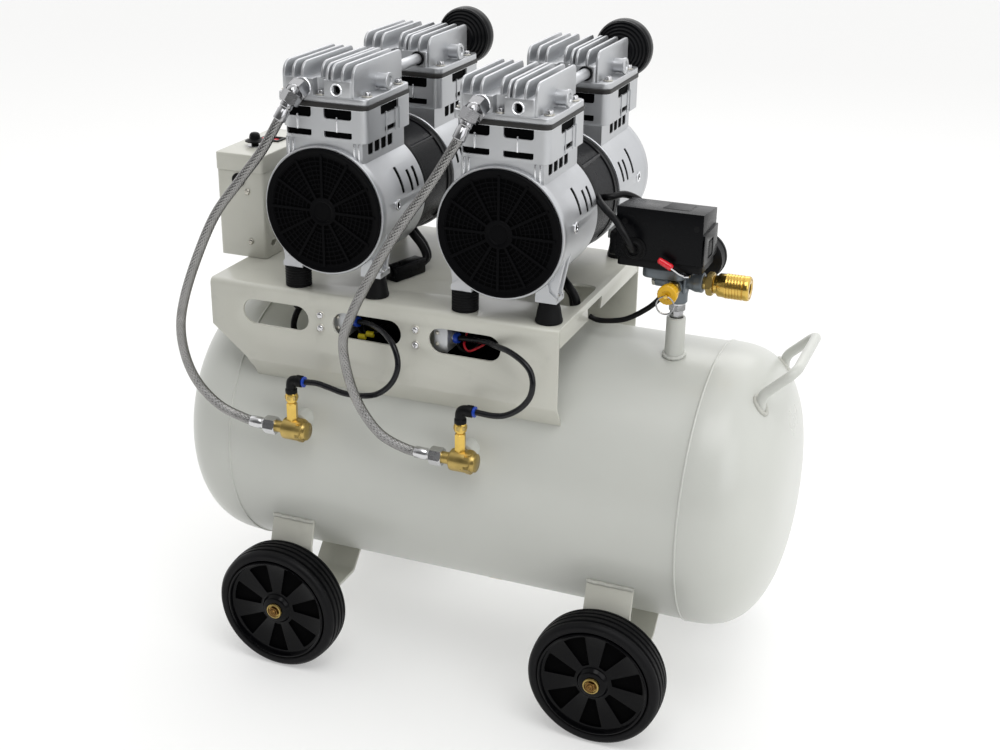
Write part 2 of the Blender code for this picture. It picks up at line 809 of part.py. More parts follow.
def build_lever():
    """The ball valve's lever with its red grip, which turns about the valve's upright stem."""
    x, y = VALVE_STEM_X, OUTLET_Y
    route = [
        (x, y + 0.0035, LEVER_Z),
        (x, y - 0.0325, LEVER_Z),
        (x - 0.0025, y - 0.0355, 0.4745),
        (x - 0.0090, y - 0.0390, 0.4800),
        (x - 0.0230, y - 0.0420, 0.4885),
    ]
    arm = curve_to_mesh(tube("ball_valve_lever", [Vector(p) for p in route], 0.0011, RED, 1))
    grip = curve_to_mesh(tube("grip", smooth_route(route[3:], 0.008), 0.0040, RED, 2))
    stem = rod("stem", (x, y, 0.4693), "Z", 0.0040, 0.0042, None, True, sides=12)
    combine(arm, [grip, stem])
    set_origin(arm, (x, y, LEVER_Z))
    return arm


COUPLER_X = OUTLET_X + 0.0260
COUPLER_END_X = 0.2747


def build_quick_coupler():
    x, z = COUPLER_X, OUTLET_ARM_Z
    body = rod("quick_coupler", (x, OUTLET_Y, z), "X", 0.0095, 0.0105, BRASS, sides=6)
    barrel = rod("barrel", (x + 0.008, OUTLET_Y, z), "X", COUPLER_END_X - x - 0.0080, 0.0092, None, True)
    combine(body, [barrel])
    socket = rod("socket", (COUPLER_END_X - 0.0200, OUTLET_Y, z), "X", 0.030, 0.0052, None, True, sides=20)
    return cut(body, [socket])


def build_coupler_sleeve():
    """The knurled ring that is drawn back to free the plug."""
    length = 0.0320
    profile = ring_profile(0.0125, 0.0095, -length, 0.0)
    return turned("coupler_sleeve", profile, "X", (COUPLER_END_X, OUTLET_Y, OUTLET_ARM_Z), BRASS, steps=20)


def build_safety_valve():
    y = OUTLET_Y - 0.0170 - GAP
    body = rod("safety_valve", (OUTLET_X, y - 0.0130, SAFETY_Z), "Y", 0.0130, 0.0072, YELLOW, sides=6)
    cap = rod("cap", (OUTLET_X, y - 0.0260, SAFETY_Z), "Y", 0.0140, 0.0085, None, True, end_radius=0.0100)
    return combine(body, [cap])


def build_safety_ring():
    """The pull ring and stem of the safety valve, drawn outwards to let air off."""
    y = OUTLET_Y - 0.0170 - 2 * GAP - 0.0260
    stem = rod("safety_valve_ring", (OUTLET_X, y - 0.0050, SAFETY_Z), "Y", 0.0050, 0.0022, STEEL, sides=12)
    ring = bmesh.new()
    around = 16
    major, minor = 0.0088, 0.0009
    for i in range(around):
        angle = 2 * math.pi * i / around
        circle = bmesh.ops.create_circle(ring, segments=5, radius=minor)["verts"]
        turn = Matrix.Rotation(angle, 4, "Y") @ Matrix.Translation((major, 0, 0))
        bmesh.ops.transform(ring, matrix=turn, verts=circle)
    verts = list(ring.verts)
    for i in range(around):
        for j in range(5):
            a, b = verts[i * 5 + j], verts[i * 5 + (j + 1) % 5]
            k = (i + 1) % around
            ring.faces.new((a, b, verts[k * 5 + (j + 1) % 5], verts[k * 5 + j]))
    loop = from_bmesh("loop", ring, None, True)
    loop.matrix_world = Matrix.Translation((OUTLET_X, y - 0.0035, SAFETY_Z - major))
    bake(loop)
    return combine(stem, [loop])


def build_pressure_switch():
    """The black housing of the pressure switch with its flat terminal cover."""
    low, high = (0.1434, -0.0550, SWITCH_LOW_Z), (0.2325, -0.0030, 0.5320)
    case = box("pressure_switch", low, high, BLACK)
    bevel = case.modifiers.new("edges", "BEVEL")
    bevel.width = 0.0030
    bevel.segments = 2
    cheek = box("cheek", (0.1340, -0.0450, 0.4800), (0.1460, -0.0100, 0.5040), None, True)
    return combine(case, [cheek])


def build_check_valve(side):
    """The brass check valve on the tank's side with the unloader's hexagon post and elbow."""
    x, y, z = CHECK_VALVE_X[side], CHECK_VALVE_Y, CHECK_VALVE_Z
    body = rod(f"check_valve_{side}", (x - 0.0150, y, z), "X", 0.0280, 0.0115, BRASS)
    pieces = [
        rod("inlet", (x - 0.0370, y, z), "X", 0.0240, 0.0060, None, True),
        rod("nut", (x - 0.0370, y, z), "X", 0.0130, 0.0082, None, True, sides=6),
        rod("nipple", (x + BOSS_SHIFT_X, y, z), "Y", -0.1520 - GAP - y, 0.0075, None, True),
        rod("post", (x - 0.0050, y, z), "Z", 0.0420, 0.0058, None, True, sides=6),
        rod("elbow_up", (x - 0.0050, y, z + 0.0400), "Z", 0.0170, 0.0054, None, True),
        rod("elbow_out", (x - 0.0080, y, z + 0.0555), "X", 0.0180, 0.0058, None, True),
    ]
    return combine(body, pieces)


# ---- hoses and tubes ----------------------------------------------------------------------
HOSE_ROUTES = {
    "left": [
        (-0.1632, -0.1535, 0.6212),
        (-0.1674, -0.1572, 0.6120),
        (-0.1840, -0.1660, 0.5801),
        (-0.2069, -0.1720, 0.5492),
        (-0.2342, -0.1780, 0.5119),
        (-0.2573, -0.1820, 0.4632),
        (-0.2737, -0.1840, 0.4187),
        (-0.2801, -0.1840, 0.3849),
        (-0.2768, -0.1820, 0.3513),
        (-0.2657, -0.1780, 0.3234),
        (-0.2460, -0.1720, 0.3010),
        (-0.2220, -0.1660, 0.2890),
        (-0.2050, -0.1650, 0.2862),
        (-0.1967, -0.1650, 0.2860),
    ],
    "right": [
        (0.0243, -0.1535, 0.6212),
        (0.0208, -0.1572, 0.6120),
        (0.0151, -0.1620, 0.6000),
        (-0.0037, -0.1700, 0.5667),
        (-0.0269, -0.1760, 0.5317),
        (-0.0454, -0.1800, 0.5015),
        (-0.0678, -0.1840, 0.4601),
        (-0.0828, -0.1860, 0.4277),
        (-0.0913, -0.1860, 0.4003),
        (-0.0869, -0.1840, 0.3630),
        (-0.0759, -0.1800, 0.3304),
        (-0.0571, -0.1750, 0.3037),
        (-0.0340, -0.1670, 0.2890),
        (-0.0150, -0.1650, 0.2862),
        (-0.0070, -0.1650, 0.2860),
    ],
}
TUBE_ROUTES = {
    "left": [
        (-0.1487, -0.1650, 0.3415),
        (-0.1334, -0.1650, 0.3425),
        (-0.1184, -0.1650, 0.3398),
        (-0.1013, -0.1650, 0.3367),
        (-0.0809, -0.1640, 0.3374),
        (-0.0655, -0.1630, 0.3421),
        (-0.0525, -0.1620, 0.3534),
        (-0.0460, -0.1600, 0.3666),
        (-0.0460, -0.1570, 0.3796),
        (-0.0540, -0.1510, 0.3925),
        (-0.0690, -0.1400, 0.3990),
        (-0.0850, -0.1290, 0.4000),
        (-0.0990, -0.1190, 0.3980),
        (-0.1140, -0.1130, 0.3950),
    ],
    "right": [
        (0.0409, -0.1650, 0.3415),
        (0.0598, -0.1655, 0.3412),
        (0.0736, -0.1660, 0.3442),
        (0.0881, -0.1660, 0.3537),
        (0.0980, -0.1660, 0.3667),
        (0.1007, -0.1650, 0.3805),
        (0.0970, -0.1620, 0.3922),
        (0.0870, -0.1580, 0.4000),
        (0.0700, -0.1500, 0.4045),
        (0.0520, -0.1380, 0.4030),
        (0.0380, -0.1270, 0.4010),
        (0.0207, -0.1180, 0.3976),
        (-0.0020, -0.1130, 0.3945),
    ],
}
HOSE_RADIUS = 0.0050
TUBE_RADIUS = 0.0030


def build_all():
    build_tank()
    build_handle()
    build_drain_cock()
    for side in ("left", "right"):
        build_strap(side)
        for end in ("front", "rear"):
            build_wheel(end, side)
    build_platform()
    build_control_box()
    build_rocker()
    build_reset_button()
    for side in ("left", "right"):
        made = [build_stator(side), build_rotor(side), build_grille(side)]
        made += [build_transfer_pipe(side), build_intake_filter(side)]
        for end in ("front", "rear"):
            made += [build_crankcase(side, end), build_cylinder(side, end)]
            made += [build_head(side, end), build_piston(side, end)]
            made += [build_foot(side, end, hand) for hand in ("left", "right")]
        for item in made:
            place_pump_part(item, side)
    build_manifold()
    build_lever()
    build_quick_coupler()
    build_coupler_sleeve()
    build_safety_valve()
    build_safety_ring()
    build_pressure_switch()
    for side in ("left", "right"):
        build_check_valve(side)
        tube(f"hose_{side}", smooth_route(HOSE_ROUTES[side], 0.022), HOSE_RADIUS, BRAID)
        tube(f"unloader_tube_{side}", smooth_route(TUBE_ROUTES[side], 0.013), TUBE_RADIUS, BLACK)


PUMP_EMPTY = {}
for pump_side, pump_x in PUMP_X.items():
    empty = bpy.data.objects.new(f"pump_{pump_side}", None)
    PARTS.objects.link(empty)
    empty.location = (pump_x, 0, PUMP_Z)
    PUMP_EMPTY[pump_side] = empty

build_all()
for item in PARTS.objects:
    if item.type == "MESH":
        item.data.shade_smooth()
        item.data.set_sharp_from_angle(angle=math.radians(35))
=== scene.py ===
"""Visual model of an oil-free twin-pump air compressor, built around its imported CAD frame.

Metres, +Z up, X along the tank with the air outlet at +X, -Y towards the viewer.
"""

import math

import bmesh
import bpy
from mathutils import Matrix, Vector
from mathutils import noise as mnoise


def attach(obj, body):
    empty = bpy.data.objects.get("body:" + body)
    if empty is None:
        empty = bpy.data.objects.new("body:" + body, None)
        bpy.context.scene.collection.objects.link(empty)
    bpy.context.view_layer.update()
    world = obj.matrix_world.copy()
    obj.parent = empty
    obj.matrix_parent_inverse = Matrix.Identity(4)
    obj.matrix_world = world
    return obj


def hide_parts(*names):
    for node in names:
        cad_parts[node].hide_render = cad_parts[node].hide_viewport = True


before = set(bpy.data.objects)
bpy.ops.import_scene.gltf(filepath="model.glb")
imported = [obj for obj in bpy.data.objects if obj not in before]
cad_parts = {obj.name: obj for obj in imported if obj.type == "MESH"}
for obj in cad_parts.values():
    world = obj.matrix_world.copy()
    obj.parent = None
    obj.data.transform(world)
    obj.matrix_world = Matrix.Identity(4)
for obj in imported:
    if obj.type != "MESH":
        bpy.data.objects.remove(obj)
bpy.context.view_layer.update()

FRAME_BODY = "compressor"
PUMP_X = {"left": -0.1345, "right": 0.053}
PUMP_Z = 0.517
TANK_R = 0.15
TANK_Z = 0.2317
# Round, above and roll in degrees; place in metres; focal length in millimetres.
CAMERA_ANGLES = (21.501876, 22.584027, 0.812264)
CAMERA_PLACE = (0.5491, -1.3889, 0.9324)
CAMERA_LENS = 53.221


# ---- stage, light and camera --------------------------------------------------------------
def node_tree(material):
    material.use_nodes = True
    tree = material.node_tree
    tree.nodes.clear()
    return tree


def build_camera():
    azimuth, elevation, roll = (math.radians(angle) for angle in CAMERA_ANGLES)
    forward = Vector((-math.sin(azimuth) * math.cos(elevation), math.cos(azimuth) * math.cos(elevation),
        -math.sin(elevation)))
    right = Vector((math.cos(azimuth), math.sin(azimuth), 0))
    up = right.cross(forward)
    right, up = (right * math.cos(roll) + up * math.sin(roll), up * math.cos(roll) - right * math.sin(roll))
    data = bpy.data.cameras.new("camera")
    data.sensor_width = 36.0
    data.lens = CAMERA_LENS
    data.clip_end = 40.0
    camera = bpy.data.objects.new("camera", data)
    bpy.context.scene.collection.objects.link(camera)
    matrix = Matrix((right, up, -forward)).transposed().to_4x4()
    matrix.translation = Vector(CAMERA_PLACE)
    camera.matrix_world = matrix
    bpy.context.scene.camera = camera


def area_light(name, place, target, size, power, colour=(1.0, 1.0, 1.0)):
    data = bpy.data.lights.new(name, "AREA")
    data.shape = "RECTANGLE"
    data.size, data.size_y = size
    data.energy = power
    data.color = colour
    light = bpy.data.objects.new(name, data)
    bpy.context.scene.collection.objects.link(light)
    light.location = place
    light.rotation_euler = (Vector(target) - Vector(place)).to_track_quat("-Z", "Y").to_euler()


def build_stage():
    world = bpy.data.worlds.new("studio")
    bpy.context.scene.world = world
    world.use_nodes = True
    tree = world.node_tree
    background = tree.nodes["Background"]
    coords = tree.nodes.new("ShaderNodeTexCoord")
    split = tree.nodes.new("ShaderNodeSeparateXYZ")
    ramp = tree.nodes.new("ShaderNodeValToRGB")
    tree.links.new(coords.outputs["Generated"], split.inputs[0])
    tree.links.new(split.outputs["Z"], ramp.inputs[0])
    ramp.color_ramp.elements[0].position = 0.0
    ramp.color_ramp.elements[0].color = (0.92, 0.92, 0.93, 1)
    ramp.color_ramp.elements[1].position = 0.75
    ramp.color_ramp.elements[1].color = (1.0, 1.0, 1.0, 1)
    # The hall in front of the object is darker than the sky behind and above it.
    facing = tree.nodes.new("ShaderNodeMapRange")
    facing.inputs["From Min"].default_value = -0.75
    facing.inputs["From Max"].default_value = 0.1
    facing.inputs["To Min"].default_value = 0.12
    facing.inputs["To Max"].default_value = 1.0
    tree.links.new(split.outputs["Y"], facing.inputs["Value"])
    dim = tree.nodes.new("ShaderNodeMix")
    dim.data_type = "RGBA"
    dim.blend_type = "MULTIPLY"
    dim.inputs["Factor"].default_value = 1.0
    tree.links.new(ramp.outputs["Color"], dim.inputs["A"])
    tree.links.new(facing.outputs["Result"], dim.inputs["B"])
    tree.links.new(dim.outputs["Result"], background.inputs["Color"])
    background.inputs["Strength"].default_value = 1.22

    area_light("key", (0.6, -1.0, 2.4), (0.05, 0.0, 0.35), (1.6, 1.2), 19)
    area_light("fill", (1.9, -1.3, 1.5), (0.0, 0.0, 0.3), (1.3, 1.6), 12, (0.97, 0.98, 1.0))
    area_light("back", (-0.3, 1.9, 2.0), (0.0, 0.0, 0.4), (2.2, 1.0), 12)

    mesh = bpy.data.meshes.new("floor")
    shape = bmesh.new()
    bmesh.ops.create_grid(shape, x_segments=2, y_segments=2, size=9.0)
    shape.to_mesh(mesh)
    shape.free()
    floor = bpy.data.objects.new("floor", mesh)
    bpy.context.scene.collection.objects.link(floor)
    material = bpy.data.materials.new("floor_paint")
    tree = node_tree(material)
    out = tree.nodes.new("ShaderNodeOutputMaterial")
    shader = tree.nodes.new("ShaderNodeBsdfPrincipled")
    shader.inputs["Base Color"].default_value = (0.62, 0.62, 0.61, 1)
    shader.inputs["Emission Color"].default_value = (1.0, 1.0, 1.0, 1)
    shader.inputs["Emission Strength"].default_value = 0.34
    shader.inputs["Roughness"].default_value = 0.75
    tree.links.new(shader.outputs[0], out.inputs[0])
    mesh.materials.append(material)
    view = bpy.context.scene.view_settings
    view.view_transform = "Standard"
    view.look = "None"


# ---- materials ----------------------------------------------------------------------------
def surface(name, colour, roughness, metallic=0.0, mottle=(9.0, 0.06), grain=(600.0, 0.12, 0.0004),
        coat=0.0, rough_vary=0.06, dirt=0.0, specular=0.5):
    """A finish with slow colour and gloss changes, fine surface relief, and dust in random patches."""
    material = bpy.data.materials.new(name)
    tree = node_tree(material)
    new, link = tree.nodes.new, tree.links.new
    out = new("ShaderNodeOutputMaterial")
    shader = new("ShaderNodeBsdfPrincipled")
    link(shader.outputs[0], out.inputs[0])
    coords = new("ShaderNodeTexCoord")

    def noise(scale, detail):
        node = new("ShaderNodeTexNoise")
        node.inputs["Scale"].default_value = scale
        node.inputs["Detail"].default_value = detail
        link(coords.outputs["Object"], node.inputs["Vector"])
        return node

    def ramp(source, *stops):
        node = new("ShaderNodeValToRGB")
        for element, (position, shade) in zip(node.color_ramp.elements, stops):
            element.position = position
            element.color = (*shade, 1)
        link(source.outputs["Fac"], node.inputs[0])
        return node.outputs["Color"]

    slow = noise(mottle[0], 4.0)
    slow.inputs["Roughness"].default_value = 0.6
    low = tuple(c * (1 - mottle[1]) for c in colour)
    last = ramp(slow, (0.34, low), (0.66, colour))
    if dirt:
        mask = ramp(noise(mottle[0] * 7, 6.0), (0.6, (0, 0, 0)), (0.78, (dirt, dirt, dirt)))
        mix = new("ShaderNodeMix")
        mix.data_type = "RGBA"
        link(mask, mix.inputs["Factor"])
        link(last, mix.inputs["A"])
        mix.inputs["B"].default_value = (*(c * 0.45 for c in colour), 1)
        last = mix.outputs["Result"]
    link(last, shader.inputs["Base Color"])
    gloss = new("ShaderNodeMapRange")
    gloss.inputs["From Min"].default_value = 0.3
    gloss.inputs["From Max"].default_value = 0.7
    gloss.inputs["To Min"].default_value = max(0.02, roughness - rough_vary)
    gloss.inputs["To Max"].default_value = min(1.0, roughness + rough_vary)
    link(slow.outputs["Fac"], gloss.inputs["Value"])
    link(gloss.outputs["Result"], shader.inputs["Roughness"])
    shader.inputs["Metallic"].default_value = metallic
    shader.inputs["Specular IOR Level"].default_value = specular
    if coat:
        shader.inputs["Coat Weight"].default_value = coat
        shader.inputs["Coat Roughness"].default_value = 0.12
    fine = noise(grain[0], 3.0)
    bump = new("ShaderNodeBump")
    bump.inputs["Strength"].default_value = grain[1]
    bump.inputs["Distance"].default_value = grain[2]
    link(fine.outputs["Fac"], bump.inputs["Height"])
    link(bump.outputs["Normal"], shader.inputs["Normal"])
    return material


CREAM = surface("cream_paint", (0.575, 0.585, 0.545), 0.3, mottle=(5.0, 0.05), grain=(260.0, 0.08, 0.0004),
    rough_vary=0.03)
CREAM_WARM = surface("cream_paint_platform", (0.555, 0.552, 0.49), 0.32, mottle=(7.0, 0.07),
    grain=(420.0, 0.12, 0.0004), coat=0.2, dirt=0.15)
WELD = surface("painted_weld", (0.55, 0.552, 0.5), 0.4, mottle=(60.0, 0.18), grain=(500.0, 0.35, 0.0008))
CAST = surface("cast_aluminium", (0.54, 0.55, 0.565), 0.42, 0.85, mottle=(14.0, 0.08),
    grain=(1500.0, 0.3, 0.0003), rough_vary=0.05)
CAST_DARK = surface("cast_shadow", (0.2, 0.205, 0.21), 0.55, 0.7, mottle=(20.0, 0.15),
    grain=(1500.0, 0.3, 0.0003))
MACHINED = surface("machined_edge", (0.8, 0.81, 0.83), 0.22, 0.95, mottle=(40.0, 0.06),
    grain=(2500.0, 0.18, 0.0002))
GASKET = surface("gasket", (0.022, 0.021, 0.02), 0.5, mottle=(40.0, 0.2), grain=(900.0, 0.25, 0.0003),
    specular=0.3)
STATOR = surface("stator_band", (0.0065, 0.007, 0.0085), 0.3, 0.1, mottle=(12.0, 0.12),
    grain=(1200.0, 0.16, 0.0003), specular=0.14)
BLACK = surface("black_plastic", (0.003, 0.0032, 0.004), 0.28, mottle=(25.0, 0.2),
    grain=(1400.0, 0.16, 0.0003), specular=0.1)
GRILLE = surface("grille_plastic", (0.0018, 0.0018, 0.0023), 0.45, mottle=(25.0, 0.2),
    grain=(1800.0, 0.2, 0.0002), specular=0.05)
BLACK_SATIN = surface("black_satin_plastic", (0.0055, 0.0056, 0.0062), 0.42, mottle=(25.0, 0.2),
    grain=(1800.0, 0.3, 0.0003), specular=0.12)
# Painted shade: a near-black, dull finish for the insides of holes, slots and pockets, and for the dark
# space under the platform.
SHADE_BLACK = surface("painted_shade_black", (0.0012, 0.0012, 0.0014), 0.75, mottle=(25.0, 0.2),
    grain=(1400.0, 0.2, 0.0003), specular=0.03)
BLACK_GLOSS = surface("black_gloss_plastic", (0.0022, 0.0022, 0.0028), 0.16, mottle=(25.0, 0.2),
    grain=(1400.0, 0.08, 0.0002), specular=0.12)
RUBBER = surface("black_rubber", (0.006, 0.006, 0.0064), 0.56, mottle=(30.0, 0.25),
    grain=(900.0, 0.3, 0.0004), rough_vary=0.1, specular=0.12)
TYRE = surface("tyre_rubber", (0.0058, 0.0058, 0.0066), 0.5, mottle=(30.0, 0.3), grain=(700.0, 0.3, 0.0004),
    rough_vary=0.12, specular=0.13)
STEEL = surface("bright_steel", (0.66, 0.66, 0.67), 0.24, 1.0, mottle=(60.0, 0.12),
    grain=(1800.0, 0.15, 0.0002))
CHROME = surface("plated_steel", (0.42, 0.42, 0.43), 0.17, 1.0, mottle=(60.0, 0.12),
    grain=(900.0, 0.1, 0.0002), rough_vary=0.05)
ZINC_PLATE = surface("zinc_plated_screw", (0.58, 0.56, 0.5), 0.3, 1.0, mottle=(90.0, 0.2),
    grain=(1800.0, 0.2, 0.0002))
BRASS = surface("brass", (0.72, 0.49, 0.12), 0.22, 1.0, mottle=(70.0, 0.16), grain=(1500.0, 0.14, 0.0002),
    rough_vary=0.06)
BRASS_WORN = surface("cast_brass", (0.52, 0.38, 0.13), 0.34, 1.0, mottle=(60.0, 0.25),
    grain=(900.0, 0.3, 0.0004), rough_vary=0.08)
COPPERY = surface("dark_brass", (0.2, 0.11, 0.035), 0.28, 1.0, mottle=(60.0, 0.25),
    grain=(900.0, 0.2, 0.0003))
ZINC_CAST = surface("grey_die_casting", (0.15, 0.172, 0.19), 0.38, 0.5, mottle=(40.0, 0.14),
    grain=(1400.0, 0.25, 0.0003))
RED = surface("red_grip", (0.7, 0.012, 0.025), 0.28, mottle=(60.0, 0.1), grain=(1500.0, 0.12, 0.0002),
    coat=0.3)
YELLOW = surface("yellow_cap", (0.74, 0.42, 0.004), 0.36, mottle=(60.0, 0.1), grain=(1500.0, 0.16, 0.0002))
BLUE = surface("blue_collar", (0.01, 0.055, 0.42), 0.32, mottle=(60.0, 0.1), grain=(1500.0, 0.14, 0.0002))
WIRE_YELLOW = surface("yellow_wire", (0.65, 0.52, 0.01), 0.4, mottle=(60.0, 0.1),
    grain=(1500.0, 0.14, 0.0002))
CABLE = surface("black_cable", (0.004, 0.004, 0.0045), 0.4, mottle=(60.0, 0.2), grain=(900.0, 0.22, 0.0003),
    specular=0.2)
TUBE = surface("black_tube", (0.004, 0.0042, 0.006), 0.26, mottle=(40.0, 0.2), grain=(900.0, 0.1, 0.0002),
    specular=0.3)
BRAID = surface("steel_braid", (0.31, 0.306, 0.3), 0.18, 1.0, mottle=(120.0, 0.2),
    grain=(2600.0, 0.15, 0.0002), rough_vary=0.05)
SWITCH_TOP = surface("switch_top", (0.02, 0.02, 0.021), 0.48, mottle=(25.0, 0.12),
    grain=(1600.0, 0.25, 0.0003), specular=0.25)
GLASS_FACE = surface("gauge_face", (0.75, 0.75, 0.72), 0.15, mottle=(60.0, 0.05),
    grain=(900.0, 0.05, 0.0002), coat=0.5)


# ---- mesh helpers -------------------------------------------------------------------------
def finish_mesh(name, shape, material, smooth=38.0):
    """Turns a bmesh into a shaded object in the scene."""
    bmesh.ops.remove_doubles(shape, verts=shape.verts, dist=1e-6)
    bmesh.ops.recalc_face_normals(shape, faces=shape.faces)
    mesh = bpy.data.meshes.new(name)
    shape.to_mesh(mesh)
    shape.free()
    made = bpy.data.objects.new(name, mesh)
    bpy.context.scene.collection.objects.link(made)
    for one in material if isinstance(material, (list, tuple)) else [material]:
        mesh.materials.append(one)
    mesh.shade_smooth()
    mesh.set_sharp_from_angle(angle=math.radians(smooth))
    return made


def modify(made, kind, **settings):
    """Adds one modifier and applies it."""
    step = made.modifiers.new("step", kind)
    for key, value in settings.items():
        setattr(step, key, value)
    bpy.context.view_layer.update()
    graph = bpy.context.evaluated_depsgraph_get()
    mesh = bpy.data.meshes.new_from_object(made.evaluated_get(graph))
    old = made.data
    made.modifiers.clear()
    made.data = mesh
    bpy.data.meshes.remove(old)
    return made


def shade(made, smooth=38.0):
    made.data.shade_smooth()
    made.data.set_sharp_from_angle(angle=math.radians(smooth))
    return made


def soften(made, width, segments=2, angle=35.0):
    """Rounds the sharp edges, so that they catch the light."""
    modify(made, "BEVEL", width=width, segments=segments, limit_method="ANGLE",
        angle_limit=math.radians(angle), harden_normals=False)
    return shade(made, 50.0)


def boolean(made, others, operation="DIFFERENCE"):
    """Cuts or adds other objects, and removes them."""
    for other in others:
        modify(made, "BOOLEAN", operation=operation, object=other, solver="EXACT")
        mesh = other.data
        bpy.data.objects.remove(other, do_unlink=True)
        bpy.data.meshes.remove(mesh)
    return shade(made)


def merge(name, objects):
    """Gathers several objects into one piece, with their materials."""
    shape = bmesh.new()
    materials = []
    for item in objects:
        mesh = item.data
        table = []
        for one in mesh.materials:
            if one not in materials:
                materials.append(one)
            table.append(materials.index(one))
        start = len(shape.faces)
        copy = mesh.copy()
        copy.transform(item.matrix_world)
        shape.from_mesh(copy)
        bpy.data.meshes.remove(copy)
        shape.faces.ensure_lookup_table()
        for face in shape.faces[start:]:
            face.material_index = table[face.material_index] if table else 0
    mesh = bpy.data.meshes.new(name)
    shape.to_mesh(mesh)
    shape.free()
    for one in materials:
        mesh.materials.append(one)
    for item in objects:
        old = item.data
        bpy.data.objects.remove(item, do_unlink=True)
        if old.users == 0:
            bpy.data.meshes.remove(old)
    made = bpy.data.objects.new(name, mesh)
    bpy.context.scene.collection.objects.link(made)
    return made


AXES = {"X": Matrix.Rotation(math.radians(90), 4, "Y"), "Y": Matrix.Rotation(math.radians(-90), 4, "X"),
    "Z": Matrix.Identity(4)}


def towards(direction):
    """A rotation that turns +Z to a direction."""
    return Vector(direction).normalized().to_track_quat("Z", "Y").to_matrix().to_4x4()


def turn_of(axis):
    return AXES[axis] if isinstance(axis, str) else towards(axis)


def block(name, low, high, material, bevel=0.0, segments=2):
    shape = bmesh.new()
    low, high = Vector(low), Vector(high)
    size = Matrix.Diagonal((*(high - low), 1.0))
    bmesh.ops.create_cube(shape, size=1.0, matrix=Matrix.Translation((low + high) / 2) @ size)
    made = finish_mesh(name, shape, material)
    return soften(made, bevel, segments) if bevel else made


def rod(name, start, axis, length, radius, material, end_radius=None, sides=32, bevel=0.0, roll=0.0):
    shape = bmesh.new()
    turn = turn_of(axis)
    place = Matrix.Translation(Vector(start) + turn @ Vector((0, 0, length / 2)))
    bmesh.ops.create_cone(shape, cap_ends=True, segments=sides, radius1=radius,
        radius2=radius if end_radius is None else end_radius, depth=length,
        matrix=place @ turn @ Matrix.Rotation(roll, 4, "Z"))
    made = finish_mesh(name, shape, material)
    return soften(made, bevel, 2) if bevel else made


def lathe(name, profile, axis, at, material, steps=64, smooth=38.0, wobble=None):
    """A profile of (radius, height) points turned about an axis; ends on the axis close themselves."""
    shape = bmesh.new()
    rings = []
    for r, h in profile:
        if r <= 1e-7:
            rings.append([shape.verts.new((0, 0, h))])
        else:
            ring = []
            for i in range(steps):
                a = math.tau * i / steps
                rr = r + (wobble(a, h) if wobble else 0.0)
                ring.append(shape.verts.new((rr * math.cos(a), rr * math.sin(a), h)))
            rings.append(ring)
    closed = profile[0][0] > 1e-7 and profile[-1][0] > 1e-7
    pairs = list(zip(rings, rings[1:])) + ([(rings[-1], rings[0])] if closed else [])
    for a, b in pairs:
        for i in range(steps):
            j = (i + 1) % steps
            if len(a) == 1 and len(b) > 1:
                shape.faces.new((a[0], b[i], b[j]))
            elif len(b) == 1 and len(a) > 1:
                shape.faces.new((a[i], a[j], b[0]))
            elif len(a) > 1 and len(b) > 1:
                shape.faces.new((a[i], a[j], b[j], b[i]))
    made = finish_mesh(name, shape, material, smooth)
    made.data.transform(Matrix.Translation(Vector(at)) @ turn_of(axis))
    return made


def smooth_route(points, spacing):
    """Points about a spacing apart on a smooth curve through the given ones."""
    knots = [Vector(p) for p in points]
    knots = [2 * knots[0] - knots[1]] + knots + [2 * knots[-1] - knots[-2]]
    route = [knots[1]]
    for before, a, b, after in zip(knots, knots[1:], knots[2:], knots[3:]):
        pieces = max(1, round((b - a).length / spacing))
        for i in range(1, pieces + 1):
            t = i / pieces
            route.append(0.5 * (2 * a + (b - before) * t + (2 * before - 5 * a + 4 * b - after) * t**2
                + (3 * a - before - 3 * b + after) * t**3))
    return route


def route_length(route):
    return sum((b - a).length for a, b in zip(route, route[1:]))


def sweep(name, route, radius, material, sides=16, relief=None, caps=True, smooth=60.0):
    """A round tube along a route; relief(turn, distance) gives the height of its surface pattern."""
    shape = bmesh.new()
    tangents = []
    for i in range(len(route)):
        a, b = route[max(0, i - 1)], route[min(len(route) - 1, i + 1)]
        tangents.append((b - a).normalized())
    normal = tangents[0].orthogonal().normalized()
    rings, distance = [], 0.0
    for i, (point, tangent) in enumerate(zip(route, tangents)):
        if i:
            distance += (point - route[i - 1]).length
            normal = (normal - tangent * normal.dot(tangent)).normalized()
        side = tangent.cross(normal)
        size = radius(distance) if callable(radius) else radius
        ring = []
        for k in range(sides):
            a = math.tau * k / sides
            r = size + (relief(a, distance) if relief else 0.0)
            ring.append(shape.verts.new(point + (normal * math.cos(a) + side * math.sin(a)) * r))
        rings.append(ring)
    for a, b in zip(rings, rings[1:]):
        for k in range(sides):
            j = (k + 1) % sides
            shape.faces.new((a[k], a[j], b[j], b[k]))
    if caps:
        shape.faces.new(list(reversed(rings[0])))
        shape.faces.new(rings[-1])
    return finish_mesh(name, shape, material, smooth)


def prism(name, outline, low, high, axis, material, bevel=0.0, segments=2):
    """A flat outline of 2D points pushed from low to high along X, Y or Z."""
    shape = bmesh.new()
    place = {"X": lambda p, h: (h, p[0], p[1]), "Y": lambda p, h: (p[0], h, p[1]), "Z": lambda p,
        h: (p[0], p[1], h)}[axis]
    bottom = [shape.verts.new(place(p, low)) for p in outline]
    top = [shape.verts.new(place(p, high)) for p in outline]
    count = len(outline)
    shape.faces.new(bottom)
    shape.faces.new(top)
    for i in range(count):
        j = (i + 1) % count
        shape.faces.new((bottom[i], bottom[j], top[j], top[i]))
    made = finish_mesh(name, shape, material)
    return soften(made, bevel, segments) if bevel else made


